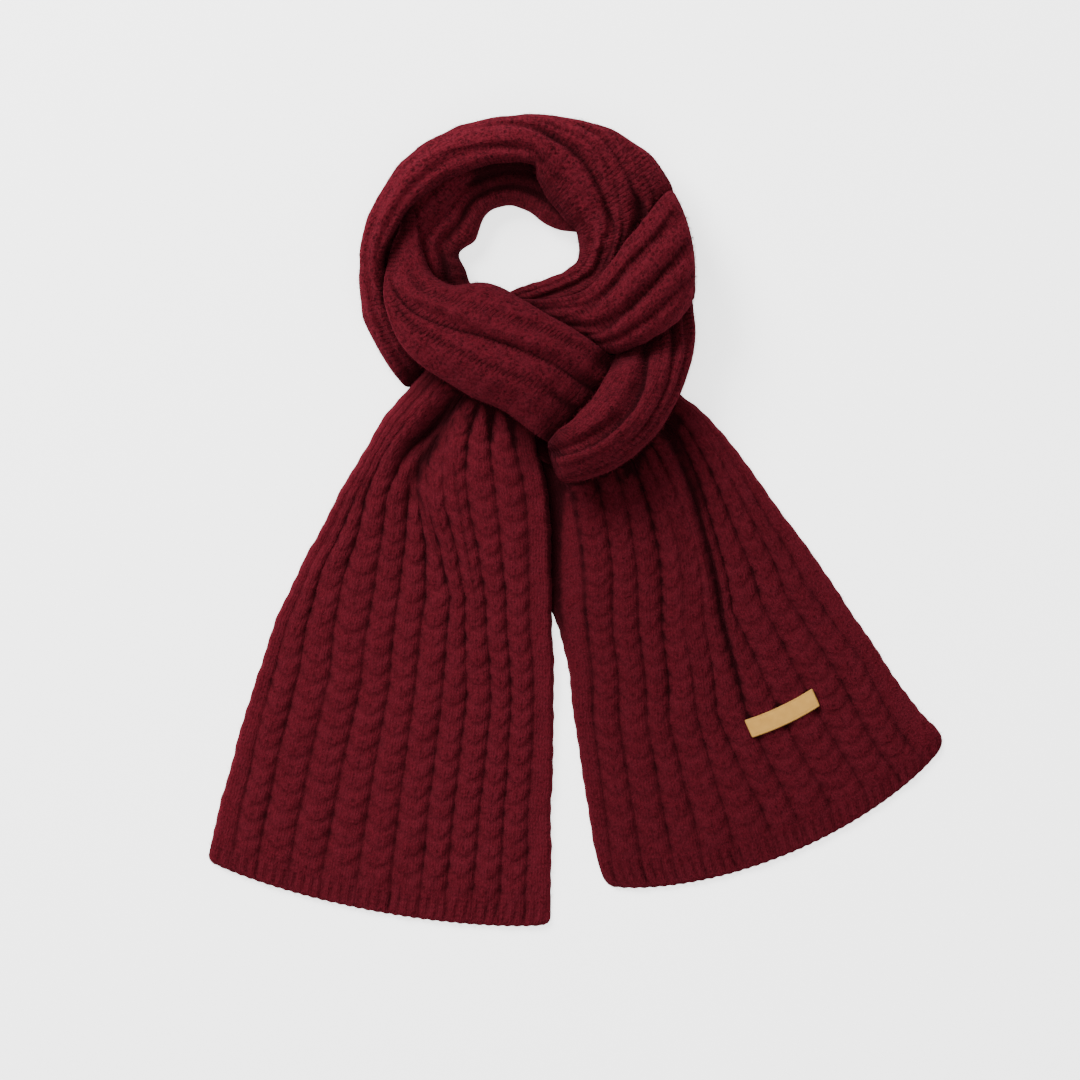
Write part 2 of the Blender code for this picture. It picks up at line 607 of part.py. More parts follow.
# columns: the stretch above, the stretch below, and between which y
ORDER = (
    ("band_front", "loop_inner", -999, 999),
    ("loop_outer", "band_front", 196, 999),
    ("loop_outer", "loop_inner", -999, 999),
    ("band_front", "knot_core", -999, 999),
    ("band_front", "tail_left", -999, 999),
    ("tail_left", "loop_outer", -999, 999),
    ("band_front", "loop_outer", -999, 196),
    ("band_right", "loop_inner", -999, 999),
    ("band_right", "loop_outer", -999, 999),
    ("band_front", "band_right", -999, 999),
    ("band_right", "knot_core", -999, 999),
    ("band_lower", "knot_core", -999, 999),
    ("band_lower", "tail_right", -999, 999),
    ("band_lower", "tail_left", -999, 999),
    ("band_lower", "loop_outer", -999, 999),
    ("band_right", "band_lower", -999, 999),
    ("band_lower", "band_front", -999, 999),
)
for above, below, low_y, high_y in ORDER:
    press(stretches[above], stretches[below], 4.5, above.startswith("tail"), low_y, high_y)

for above, below in (("band_front", "knot_core"), ("band_front", "tail_left"),
                     ("band_lower", "tail_right"), ("band_right", "loop_outer")):
    seat(stretches[above], stretches[below])


def label_on(tops, lows):
    """The sewn label: a thin plate that bridges the ribs it lies on."""
    tree = tree_of(tops, lows)
    first = np.array(LABEL_CORNERS[0])
    chord = np.array(LABEL_CORNERS[1]) - first
    down = np.array(LABEL_CORNERS[2]) - first
    u, v = np.meshgrid(np.linspace(0, 1, 10), np.linspace(0, 1, 4), indexing="ij")
    sag = LABEL_SAG * (4 * u * (1 - u))
    points = first + chord * u[..., None] + down * v[..., None]
    points = points + down / np.linalg.norm(down) * sag[..., None]
    high = np.array([[probe(tree, p, 7.0, False) for p in row] for row in points])
    bed = (high.max(axis=1)[:, None] + 0.35) * np.ones((1, 4))
    bed[1:-1] = np.maximum(bed[1:-1], (bed[:-2] + bed[2:]) / 2)
    low = np.concatenate([points, bed[..., None]], axis=-1)
    top = low + np.array([0, 0, LABEL_SIZE[2]])
    return top, low


COLORS = {
    "tail_left": (0.150, 0.010, 0.022), "tail_right": (0.146, 0.010, 0.022),
    "loop_outer": (0.156, 0.011, 0.024), "loop_inner": (0.110, 0.007, 0.016),
    "band_front": (0.160, 0.011, 0.025), "band_right": (0.152, 0.010, 0.023),
    "band_lower": (0.158, 0.011, 0.024), "knot_core": (0.100, 0.007, 0.015),
}
everything = np.vstack([np.vstack([t.reshape(-1, 3), l.reshape(-1, 3)])
                        for t, l in stretches.values()])
middle = (everything.min(axis=0) + everything.max(axis=0)) / 2
shift = np.array([-middle[0], -middle[1], 0.0])
for name, (tops, lows) in stretches.items():
    add(name, tops, lows, cloth(name + "_wool", COLORS[name], 0.9), shift)
tops, lows = label_on(*stretches["tail_right"])
add("label", tops, lows, cloth("label_leather", (0.62, 0.40, 0.18), 0.7), shift)
print("shift", shift, "size", everything.max(axis=0) - everything.min(axis=0))
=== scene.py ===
"""Chunky dark red knit scarf, knotted and laid flat: the knitted cloth over its CAD solids.

Tables are in millimetres, in plan: +X across the scarf, +Y from the hems to the neck ring.
Heights come from the CAD solids, so each stretch of cloth lies where its solid does.
"""
from types import SimpleNamespace
import bpy
import numpy as np
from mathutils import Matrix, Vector


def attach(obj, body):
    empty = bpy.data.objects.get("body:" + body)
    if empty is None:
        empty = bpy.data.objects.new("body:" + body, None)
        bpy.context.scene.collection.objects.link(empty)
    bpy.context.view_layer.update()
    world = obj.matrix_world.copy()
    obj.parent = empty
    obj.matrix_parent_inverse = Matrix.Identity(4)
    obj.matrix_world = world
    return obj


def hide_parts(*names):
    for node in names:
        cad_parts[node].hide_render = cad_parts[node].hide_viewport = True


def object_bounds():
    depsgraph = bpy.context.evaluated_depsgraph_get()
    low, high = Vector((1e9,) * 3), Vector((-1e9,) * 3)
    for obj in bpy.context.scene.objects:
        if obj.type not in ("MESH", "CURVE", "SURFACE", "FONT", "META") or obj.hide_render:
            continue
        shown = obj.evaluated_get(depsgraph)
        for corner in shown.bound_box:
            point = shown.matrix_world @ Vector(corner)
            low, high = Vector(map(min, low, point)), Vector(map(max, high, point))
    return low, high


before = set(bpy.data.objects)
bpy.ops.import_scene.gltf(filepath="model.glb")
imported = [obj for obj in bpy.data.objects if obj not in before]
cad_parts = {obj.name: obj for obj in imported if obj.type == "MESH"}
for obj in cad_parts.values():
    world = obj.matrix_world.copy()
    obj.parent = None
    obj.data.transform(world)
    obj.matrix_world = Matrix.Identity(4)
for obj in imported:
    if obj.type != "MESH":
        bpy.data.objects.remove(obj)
cad_low, cad_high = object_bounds()

# ------------------------------------------------------------------------ the left tail
# One end of the scarf, lying flat: thick mohair-blend yarn, knitted as ten raised ribs of
# U-shaped lobes between two plain selvages, with a slit rib hem. It is knitted in one with
# the rest of the scarf, and bunched up where it comes out of the knot.
TO_FRAME = np.array([-0.1, 0.486])      # from the tables' origin to the frame's
# each stretch takes a share of MAROON, set lighter or darker as painted light and shade
MAROON = (0.0745, 0.0062, 0.0106)       # the yarn, of which each stretch takes its own share
WALE = 4.2                              # one column of stitches
COURSE = 3.2                            # one row of stitches
RIBS = 10                               # across a tail, between its selvages
LOBE = 13.8                             # one lobe of a rib
LOBE_HANG = 9.5                         # its middle hangs this far towards the hem
EYE_AT = 0.66                           # where its eye lies, as a share of the way along it
VALLEY_DROP = 0.3                       # the valleys lie this much lower than the solid's
EYE_DEPTH = 0.6                         # the pit at the middle of a lobe's edge
POCKET_DEPTH = 0.25                     # the pits beside the lobes, along the valleys
LEG_DEPTH = 0.3                         # the groove beside each leg of the V above an eye
HEM = 16.0                              # depth of the slit rib along the hem
HEM_SLIT = 7.0                          # from one of its slits to the next
SLIT_DEPTH = 1.1
CORNER = 4.5                            # rounding of the hem's corners, in plan
EDGE_ROUND = 3.4                        # rounding of the long edges, in height
THINNEST = 2.4                          # the knit is never thinner than this
RIB_COLUMNS = 19                        # of the grid, in one rib
SELVAGE_COLUMNS = 12
TAIL_STEP = 0.96                        # between the grid's rows
MAP_STEP = 2.0                          # between the points of the height map

# Sections from the knot to the hem. columns: first edge x, y, second edge x, y, bow
LEFT_RAILS = (
    (-104.4, 110.9, -28.1, 76.3, 0),
    (-121, 92.9, -27.4, 59, 1.4),
    (-135.4, 76.6, -24.5, 41.8, 2.9),
    (-148.6, 53.6, -20.4, 23, 3.6),
    (-164, 29, -18, 0, 4.3),
    (-180.2, -2, -17.3, -27.4, 5),
    (-197.2, -34.4, -17, -60.5, 5.8),
    (-211.6, -64, -16, -93.6, 6.5),
    (-224.4, -100.2, -15.6, -129.6, 7.2),
    (-236, -136.2, -16, -165.6, 8.6),
    (-247.2, -175.8, -17.4, -208.8, 10.5),
    (-257.6, -215.2, -17.6, -250.6, 12.6),
    (-264, -244.4, -18, -290.4, 14.2),
)
# Valleys beside the ribs, as shares of the way across. columns: section, valley 1 to 11
LEFT_VALLEYS = (
    (0, .050, .110, .180, .329, .345, .360, .375, .400, .520, .640, .791),
    (1, .045, .095, .155, .320, .335, .350, .365, .385, .526, .660, .823),
    (2, .040, .080, .130, .270, .295, .320, .344, .397, .532, .680, .855),
    (3, .032, .060, .095, .198, .250, .290, .328, .420, .552, .709, .875),
    (4, .034, .071, .107, .204, .308, .356, .395, .488, .610, .750, .894),
    (5, .038, .078, .151, .258, .361, .452, .515, .589, .687, .789, .906),
    (6, .034, .080, .172, .300, .399, .504, .603, .661, .742, .822, .914),
    (8, .046, .128, .233, .343, .439, .529, .623, .706, .791, .859, .935),
    (12, .070, .144, .238, .332, .438, .538, .626, .699, .775, .856, .930),
)


def spread(table, places):
    """Rows of a table read between its rows, on the Catmull-Rom curve through them."""
    rows = np.array(table, float)
    padded = np.vstack([2 * rows[0] - rows[1], rows, 2 * rows[-1] - rows[-2]])
    places = np.clip(places, 0, len(rows) - 1)
    base = np.minimum(places.astype(int), len(rows) - 2)
    t = (places - base)[:, None]
    a, b, c, d = (padded[base + k] for k in range(4))
    return 0.5 * (2 * b + (c - a) * t + (2 * a - 5 * b + 4 * c - d) * t ** 2
                  + (3 * b - a - 3 * c + d) * t ** 3)


def with_edges(table, places):
    """Shares of the way across, read at places, with 0 before the first and 1 after the last."""
    rows = np.array(table, float)
    shares = [np.interp(places, rows[:, 0], column) for column in rows.T[1:]]
    return np.stack([0 * places, *shares, 0 * places + 1], axis=1)


def in_plan(rails, places, across):
    """Plan points: first edge + across * chord + bow * (4 s (1 - s))^0.8 square to the chord."""
    rows = spread(rails, places)
    first = rows[:, None, 0:2]
    chord = rows[:, None, 2:4] - first
    out = np.stack([chord[..., 1], -chord[..., 0]], axis=-1)
    out = out / np.linalg.norm(out, axis=-1, keepdims=True)
    swell = np.clip(4 * across * (1 - across), 0, 1) ** 0.8
    return first + chord * across[..., None] + out * (swell * rows[:, 4:5])[..., None]


def run_of(line):
    """How far along a line each of its points lies: the sum of the steps before it."""
    return np.append(0, np.cumsum(np.linalg.norm(np.diff(line, axis=0), axis=1)))


def evenly(rails, step):
    """Places along a stretch whose middle points lie a step apart, and their run in mm."""
    fine = np.linspace(0, len(rails) - 1, 481)
    run = run_of(in_plan(rails, fine, np.full((481, 1), 0.5))[:, 0])
    along = np.linspace(0, run[-1], int(round(run[-1] / step)) + 1)
    return np.interp(along, run, fine), along[:, None]


def chord_width(rails, places):
    """Length of each section's chord."""
    rows = spread(rails, places)
    return np.hypot(rows[:, 2] - rows[:, 0], rows[:, 3] - rows[:, 1])[:, None]


def blurred(field, reach, axis):
    """A field averaged along one axis under a bell whose standard reach is given in cells."""
    half = int(np.ceil(3 * reach))
    weights = np.exp(-0.5 * (np.arange(-half, half + 1) / reach) ** 2)
    pad = [(half, half) if k == axis else (0, 0) for k in range(field.ndim)]
    padded = np.pad(field, pad, mode="edge")
    count = field.shape[axis]
    parts = [w * np.take(padded, np.arange(k, k + count), axis) for k, w in enumerate(weights)]
    return sum(parts) / weights.sum()


def smooth_step(value, low, high):
    """0 below low, 1 above high, and 3t^2 - 2t^3 between."""
    t = np.clip((value - low) / (high - low), 0, 1)
    return t * t * (3 - 2 * t)


def bell(off, half):
    """1 on a line and exp(-(off / half width)^2) away from it."""
    return np.exp(-(off / half) ** 2)


def rounded(distance, radius):
    """A quarter circle: sqrt(1 - (1 - distance / radius)^2), and 1 past the radius."""
    return np.sqrt(1 - (1 - np.clip(distance / radius, 0, 1)) ** 2)


def dropped_on(node, plan, above=True):
    """Height at which plan points land on a CAD solid, by a Shrinkwrap, and which did land."""
    start = 200.0 if above else -50.0
    points = np.column_stack([plan.reshape(-1, 2), np.full(plan[..., 0].size, start)])
    points[:, :2] += TO_FRAME
    mesh = bpy.data.meshes.new("dropped")
    mesh.vertices.add(len(points))
    mesh.vertices.foreach_set("co", (points * 0.001).ravel())
    dropped = bpy.data.objects.new("dropped", mesh)
    bpy.context.scene.collection.objects.link(dropped)
    drop = dropped.modifiers.new("drop", "SHRINKWRAP")
    drop.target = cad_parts[node]
    drop.wrap_method = "PROJECT"
    drop.use_project_z = True
    drop.use_negative_direction = above
    drop.use_positive_direction = not above
    landed = np.empty(points.size, np.float32)
    graph = bpy.context.evaluated_depsgraph_get()
    dropped.evaluated_get(graph).data.vertices.foreach_get("co", landed)
    bpy.data.objects.remove(dropped)
    bpy.data.meshes.remove(mesh)
    high = landed.reshape(-1, 3)[:, 2].reshape(plan.shape[:-1]) * 1000.0
    return high, np.abs(high - start) > 0.01


def skin_height(node, plan, above=True):
    """Height of a CAD solid's skin at plan points.

    A point past the solid's edge takes the height of the nearest point that landed.
    """
    high, hit = dropped_on(node, plan, above)
    good = np.flatnonzero(hit.any(axis=1))
    row = good[np.abs(good[None, :] - np.arange(len(high))[:, None]).argmin(axis=1)]
    high, hit = high[row], hit[row]
    place = np.arange(high.shape[1])
    before = np.maximum.accumulate(np.where(hit, place, -9999), axis=1)
    after = np.minimum.accumulate(np.where(hit, place, 9999)[:, ::-1], axis=1)[:, ::-1]
    nearest = np.where(place - before <= after - place, before, after)
    return np.take_along_axis(high, nearest, axis=1)


def height_map():
    """Heights of the whole scarf on a grid in plan, as the highest of its solids."""
    low = np.array(cad_low) * 1000.0 - 30
    high = np.array(cad_high) * 1000.0 + 30
    across = np.arange(low[0], high[0], MAP_STEP) - TO_FRAME[0]
    along = np.arange(low[1], high[1], MAP_STEP) - TO_FRAME[1]
    plan = np.stack(np.meshgrid(across, along, indexing="ij"), axis=-1)
    total = np.zeros(plan.shape[:2])
    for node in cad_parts:
        height, hit = dropped_on(node, plan)
        total = np.maximum(total, np.where(hit, height, 0))
    return blurred(blurred(total, 0.7, 0), 0.7, 1), plan[0, 0]


# the heights from which shut_in paints shade
HEIGHTS, HEIGHTS_CORNER = height_map()


def shut_in(points):
    """Painted shade for the points that the cloth round them hides from the sky.

    It follows the mean, over 12 ways, of the sine of the horizon's height.
    """
    hidden = 0.0
    for turn in np.linspace(0, 2 * np.pi, 12, endpoint=False):
        horizon = np.zeros(points.shape[:-1])
        for reach in (3.0, 5.0, 8.0, 12.0, 18.0, 27.0):
            spot = points[..., :2] + reach * np.array([np.cos(turn), np.sin(turn)])
            cell = (spot - HEIGHTS_CORNER) / MAP_STEP
            cell = np.clip(cell, 0, np.array(HEIGHTS.shape) - 1.001)
            i, j = np.moveaxis(cell.astype(int), -1, 0)
            u, v = np.moveaxis(cell, -1, 0) - (i, j)
            high = (HEIGHTS[i, j] * (1 - u) + HEIGHTS[i + 1, j] * u) * (1 - v) \
                + (HEIGHTS[i, j + 1] * (1 - u) + HEIGHTS[i + 1, j + 1] * u) * v
            horizon = np.maximum(horizon, (high - points[..., 2]) / reach)
        hidden = hidden + horizon / np.sqrt(1 + horizon ** 2) / 12
    return 0.8 * smooth_step(hidden, 0.22, 0.75)


def creased(plan, folds):
    """Depth and painted shade of the main creases and other lines of painted shade: each is a
    bell about its line.

    A fold's rows are the points of its line, with its depth, painted shade and half width
    there. A negative shade takes painted shade away, which paints light.
    """
    depth = np.zeros(plan.shape[:-1])
    shade = np.zeros(plan.shape[:-1])
    for fold in folds:
        best = np.full(depth.shape, 1e9)
        row = np.zeros(depth.shape + (3,))
        for one, two in zip(np.array(fold[:-1], float), np.array(fold[1:], float)):
            way = two[:2] - one[:2]
            t = np.clip(((plan - one[:2]) @ way) / (way @ way), 0, 1)[..., None]
            off = np.linalg.norm(plan - one[:2] - t * way, axis=-1)
            near = off < best
            best = np.where(near, off, best)
            row = np.where(near[..., None], one[2:] + (two[2:] - one[2:]) * t, row)
        line = bell(best, row[..., 2])
        depth = depth + row[..., 0] * line
        shade = shade + row[..., 1] * line
    return depth, shade


def ripple(rng, along, across, longest):
    """Unevenness of handwork: seven sine waves of random direction, summed to about -1..1."""
    waves = rng.uniform((0, 0.35, 0), (2 * np.pi, 1, 2 * np.pi), (7, 3))
    total = 0.0
    for turn, pitch, phase in waves:
        way = along * np.cos(turn) + across * np.sin(turn)
        total = total + np.sin(2 * np.pi * way / (longest * pitch) + phase)
    return total / len(waves) ** 0.5 / 1.5


def tail_grid(rails, valleys):
    """A tail's grid: its rows run along it, and its columns over its selvages and ribs.

    cell and part say which rib a column lies in and how far across it, from 0 to 1. wide
    goes from 0 to 1 as a rib spreads out, and calm falls to 0 on the hem.
    """
    places, along = evenly(rails, TAIL_STEP)
    edges = with_edges(valleys, places)
    side = np.linspace(0, 1, SELVAGE_COLUMNS, endpoint=False)
    rib = np.linspace(0, 1, RIB_COLUMNS, endpoint=False)
    cells = [side] + [k + rib for k in range(1, RIBS + 1)] + [RIBS + 1 + side]
    place = np.append(np.concatenate(cells), RIBS + 2.0)
    cell = np.minimum(place.astype(int), RIBS + 1)
    part = place - cell
    width = chord_width(rails, places)
    cell_width = (np.diff(edges, axis=1) * width)[:, cell]
    to_hem = along[-1] - along
    return SimpleNamespace(
        places=places, along=along, edges=edges, cell=cell, part=part, width=width,
        across=edges[:, cell] * (1 - part) + edges[:, cell + 1] * part,
        cell_width=cell_width, wide=smooth_step(cell_width, 4.5, 12), to_hem=to_hem,
        calm=smooth_step(to_hem, HEM, HEM + 7), ribbed=(cell >= 1) & (cell <= RIBS))


def rib_ground(node, rails, at):
    """Heights of the plain ribs, valley + rise * arch, and their arch 1 - |2 part - 1|^2.5.

    Valleys and crowns are read from the solid, at thirds of each rib, and evened out along
    the tail. A narrow rib rises less and has shallower valleys.
    """
    third = np.arange(0, RIBS + 2 + 0.01, 1 / 3)
    base = np.minimum((third + 1e-6).astype(int), RIBS + 1)
    share = third - base
    coarse = slice(None, None, 2)
    seen = at.edges[coarse][:, base] * (1 - share) + at.edges[coarse][:, base + 1] * share
    inset = 4.0 / at.width[coarse]
    rows = np.clip(at.places[coarse], 0.15, len(rails) - 1.17)
    high = skin_height(node, in_plan(rails, rows, np.clip(seen, inset, 1 - inset)))
    run = at.along[:, 0]
    high = np.stack([np.interp(run, run[coarse], column) for column in blurred(high, 2.6, 0).T],
                    axis=1)
    valley = high[:, 0::3]
    crown = (high[:, 1::3] + high[:, 2::3]) / 2
    rise = crown - (valley[:, :-1] + valley[:, 1:]) / 2
    rise = rise[:, at.cell] * (0.15 + 0.85 * smooth_step(at.cell_width, 5, 10))
    level = valley[:, at.cell] * (1 - at.part) + valley[:, at.cell + 1] * at.part
    arch = 1 - np.abs(2 * at.part - 1) ** np.where(at.ribbed, 2.5, 4.0)
    drop = VALLEY_DROP * (0.35 + 0.65 * at.wide) * (1 - arch)
    return level + rise * arch - drop, arch


def lobes(at, arch, lobe_rise, rng):
    """Relief of the lobes, and the painted shade in their small hollows.

    phase runs from 0 to 1 over a lobe, and its lines hang as a parabola, so that a lobe
    swells up to a U-shaped edge and drops past it. Bells press in all the smaller hollows and
    paint shade into them, and into a band just past each U-shaped edge.
    """
    jitter = rng.uniform(-0.09, 0.09, RIBS + 2)[at.cell]
    beat = at.along / LOBE + jitter + 0.06 * ripple(rng, at.along, at.across * at.width, 80)
    hang = LOBE_HANG / LOBE * (1 - (2 * at.part - 1) ** 2) * (0.35 + 0.65 * at.wide)
    phase = (beat - hang) % 1.0
    lobe = smooth_step(phase, -0.1, 0.6) * (1 - smooth_step(phase, 0.74, 1.0) ** 1.5)
    full = (0.1 + 0.9 * at.wide) * at.calm * at.ribbed
    # painted shade in a band just past each lobe's U-shaped edge
    lip = bell(((phase + 0.4) % 1.0 - 0.4) * LOBE - 0.5, 1.4) * full

    # the eye, and the V of the stitches above it, pressed in and painted with shade
    clear = at.ribbed * at.calm * smooth_step(at.cell_width, 6, 12)
    off_middle = np.abs(at.part - 0.5) * at.cell_width
    to_eye = (phase - EYE_AT) * LOBE
    eye = bell(off_middle, 0.9) * bell(to_eye, 1.3) * clear
    leg = bell(off_middle + 0.35 * to_eye, 0.5) * clear
    leg = leg * smooth_step(phase, 0.30, 0.5) * (1 - smooth_step(phase, 0.60, 0.68))

    # the pockets beside the lobes, and the painted shade along the valley
    to_valley = np.minimum(at.part, 1 - at.part)
    to_valley = np.where(at.cell == 0, 1 - at.part, to_valley)
    to_valley = np.where(at.cell == RIBS + 1, at.part, to_valley) * at.cell_width
    wedge = np.clip(1 - (beat + 0.10) % 1.0 / 0.75, 0, 1)
    opened = 0.12 + 0.88 * at.wide
    pocket = bell(to_valley, 1.5 + 2.8 * wedge * (0.3 + 0.7 * at.wide))
    pocket = pocket * wedge ** 0.5 * at.calm * opened
    notch = bell(to_valley, 3.0) * (0.5 + 0.5 * at.calm) * opened

    # the hem's slits, pressed in and painted with shade
    slit = bell(((at.across * at.width / HEM_SLIT + 0.5) % 1.0 - 0.5) * HEM_SLIT, 1.25)
    slit = slit * (1 - smooth_step(at.to_hem, HEM - 3, HEM + 1))
    slit = slit * smooth_step(at.to_hem, 0.5, 3.5)
    relief = lobe_rise * full * (lobe - 0.5) * arch ** 0.3 - EYE_DEPTH * eye \
        - POCKET_DEPTH * pocket - SLIT_DEPTH * slit - LEG_DEPTH * leg
    hollow = 0.8 * eye + 0.45 * pocket + 0.25 * notch + 0.7 * slit + 0.5 * lip + 0.5 * leg
    return relief, 0.6 * np.minimum(hollow, 0.75)


def tail_outline(rails, at, rng):
    """A tail's points in plan, with rounded corners, wavy edges and a scalloped hem."""
    tuck = CORNER * (1 - rounded(at.to_hem, CORNER))
    wave = 0.22 * np.cos(2 * np.pi * at.along / LOBE)
    wave = (wave + 0.5 * ripple(rng, at.along, 0 * at.along, 55)) * at.calm
    squeeze = (tuck - wave) / at.width
    plan = in_plan(rails, at.places, at.across + squeeze * (1 - 2 * at.across))
    scallop = 0.35 * np.cos(2 * np.pi * at.across * at.width / HEM_SLIT)
    scallop = scallop * (1 - smooth_step(at.to_hem, 0, 4))
    ahead = plan[-1] - plan[-8]
    return plan + ahead / np.linalg.norm(ahead, axis=1, keepdims=True) * scallop[..., None]


def rib_tail(node, rails, valleys, folds, lobe_rise, seed):
    """A tail's top skin: points, stitch coordinates and the painted shade at each point.

    node is its solid. rails, valleys and folds are its tables of sections, valleys and main
    creases with lines of painted shade, and lobe_rise says how far its lobes swell.
    """
    rng = np.random.default_rng(seed)
    at = tail_grid(rails, valleys)
    top, arch = rib_ground(node, rails, at)
    relief, hollow = lobes(at, arch, lobe_rise, rng)
    pressed, shade = creased(in_plan(rails, at.places, at.across), folds)
    uneven = 0.6 * ripple(rng, at.along, at.across * at.width, 60)
    top = np.maximum(top + relief - pressed + uneven, THINNEST)
    inside = np.minimum(np.minimum(at.across, 1 - at.across) * at.width, at.to_hem + 0.5)
    top = top * (0.45 + 0.55 * rounded(inside, EDGE_ROUND))
    points = np.concatenate([tail_outline(rails, at, rng), top[..., None]], axis=-1)
    wale = at.cell * 9 + 4.5 + (at.part - 0.5) * at.cell_width / WALE
    course = np.broadcast_to(at.along / COURSE, wale.shape)
    # painted shade: the lobes' small hollows, the folds' painted shade and the shade of the cloth
    # round about
    hollow = np.clip(hollow + shade + shut_in(points), 0, 1)
    return SimpleNamespace(points=points, stitch=np.stack([wale, course], axis=-1),
                           hollow=hollow, turned=False)


def grid_faces(rows, cols):
    """Quads of a grid of points, row by row."""
    corner = (np.arange(rows - 1)[:, None] * cols + np.arange(cols - 1)).ravel()
    return np.stack([corner, corner + cols, corner + cols + 1, corner + 1], axis=1)


def grid_rim(rows, cols):
    """The points round a grid's edge, in order."""
    index = np.arange(rows * cols).reshape(rows, cols)
    return np.concatenate([index[0], index[1:, -1], index[-1, -2::-1], index[-2:0:-1, 0]])


def piece(name, points, faces, stitch, hollow, material):
    """A new piece from points in mm, with its stitch UV map and an attribute of painted shade,
    which on the label holds its worn rim instead.
    """
    points = points.copy()
    points[:, :2] += TO_FRAME
    mesh = bpy.data.meshes.new(name)
    mesh.from_pydata((points * 0.001).tolist(), [], faces)
    corners = np.empty(len(mesh.loops), np.int32)
    mesh.loops.foreach_get("vertex_index", corners)
    mesh.uv_layers.new(name="stitch").data.foreach_set("uv", stitch[corners].ravel())
    depth = mesh.attributes.new("hollow", "FLOAT", "POINT")
    depth.data.foreach_set("value", hollow.astype(np.float32))
    mesh.shade_smooth()
    mesh.materials.append(material)
    item = bpy.data.objects.new(name, mesh)
    bpy.context.scene.collection.objects.link(item)
    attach(item, "root")
    return item


def closed_tail(name, skin, material):
    """A tail's skin with its sides brought down to a flat underside of one face.

    Each side is two more rings of points, moved out from the edge: one at 0.45 of its
    height, and one on the table.
    """
    rows, cols = skin.hollow.shape
    flat = skin.points.reshape(-1, 3)
    rim = grid_rim(rows, cols)
    edge = flat[rim]
    way = np.roll(edge, -3, axis=0) - np.roll(edge, 3, axis=0)
    out = np.stack([-way[:, 1], way[:, 0]], axis=1)
    out = out / np.linalg.norm(out, axis=1, keepdims=True)
    if ((edge[:, :2] - flat[:, :2].mean(axis=0)) * out).sum() < 0:
        out = -out
    lower = np.column_stack([edge[:, :2] + 0.5 * out, 0.45 * edge[:, 2]])
    base = np.column_stack([edge[:, :2] + 0.4 * out, np.full(len(rim), 0.02)])
    this = rows * cols + np.arange(len(rim))
    after = np.roll(this, -1)
    sides = np.stack([rim, np.roll(rim, -1), after, this], axis=1)
    skirt = np.stack([this, after, after + len(rim), this + len(rim)], axis=1)
    faces = np.vstack([grid_faces(rows, cols), sides, skirt]).tolist()
    faces.append((this + len(rim)).tolist())
    every = np.concatenate([np.arange(rows * cols), rim, rim])
    return piece(name, np.vstack([flat, lower, base]), faces,
                 skin.stitch.reshape(-1, 2)[every], skin.hollow.ravel()[every], material)


class Shade:
    """A shader socket that Python arithmetic can be written on: each operator adds a Math node."""

    def __init__(self, tree, socket=None):
        """A socket of a node tree, or none yet, to start from."""
        self.tree = tree
        self.socket = socket

    def node(self, kind, settings=None, inputs=None, output=0):
        """Any other node: its settings first, then a value or a link for each named socket."""
        made = self.tree.nodes.new(kind)
        for key, value in (settings or {}).items():
            setattr(made, key, value)
        for key, value in (inputs or {}).items():
            if isinstance(value, Shade):
                self.tree.links.new(value.socket, made.inputs[key])
            else:
                made.inputs[key].default_value = value
        return Shade(self.tree, made.outputs[output])

    def math(self, operation, *values):
        """A Math node on sockets or numbers."""
        return self.node("ShaderNodeMath", {"operation": operation}, dict(enumerate(values)))

    def mix(self, share, first, second):
        """A colour between two others, by a Mix node."""
        settings = {"data_type": "RGBA", "blend_type": "MIX", "clamp_factor": True}
        return self.node("ShaderNodeMix", settings, {0: share, 6: first, 7: second}, 2)

    def noise(self, place, scale, detail, roughness=0.5):
        """Soft random blotches from 0 to 1, about 1 / scale across."""
        return self.node("ShaderNodeTexNoise", None, {"Vector": place, "Scale": scale,
                                                      "Detail": detail, "Roughness": roughness})

    def between(self, low, high):
        """This value carried from low..high to 0..1, and held there."""
        return self.node("ShaderNodeMapRange", {"clamp": True},
                         {"Value": self, "From Min": low, "From Max": high})

    def place(self):
        """The point on the object, in metres."""
        return self.node("ShaderNodeTexCoord", output=3)

    def hollow(self):
        """The piece's painted shade from 0 to 1; on the label, its worn rim."""
        return self.node("ShaderNodeAttribute", {"attribute_name": "hollow"}, output=2)

    def bump(self, strength, distance):
        """The normal that this height gives."""
        return self.node("ShaderNodeBump", None, {"Height": self, "Strength": strength,
                                                  "Distance": distance})

    def feed(self, socket):
        """This value or colour led into a shader's socket."""
        self.tree.links.new(self.socket, socket)

    def fract(self):
        """This value less the whole number below it."""
        return self.math("FRACT", self)

    def __abs__(self):
        return self.math("ABSOLUTE", self)

    def __add__(self, other):
        return self.math("ADD", self, other)

    def __sub__(self, other):
        return self.math("SUBTRACT", self, other)

    def __mul__(self, other):
        return self.math("MULTIPLY", self, other)

    __radd__ = __add__
    __rmul__ = __mul__

    def __rsub__(self, other):
        return self.math("SUBTRACT", other, self)


def finish(name, plain_values):
    """A new material, its shader with plain values set, and the start of its expressions."""
    material = bpy.data.materials.new(name)
    material.use_nodes = True
    shader = material.node_tree.nodes["Principled BSDF"]
    for socket, value in plain_values.items():
        shader.inputs[socket].default_value = value
    return material, shader, Shade(material.node_tree)


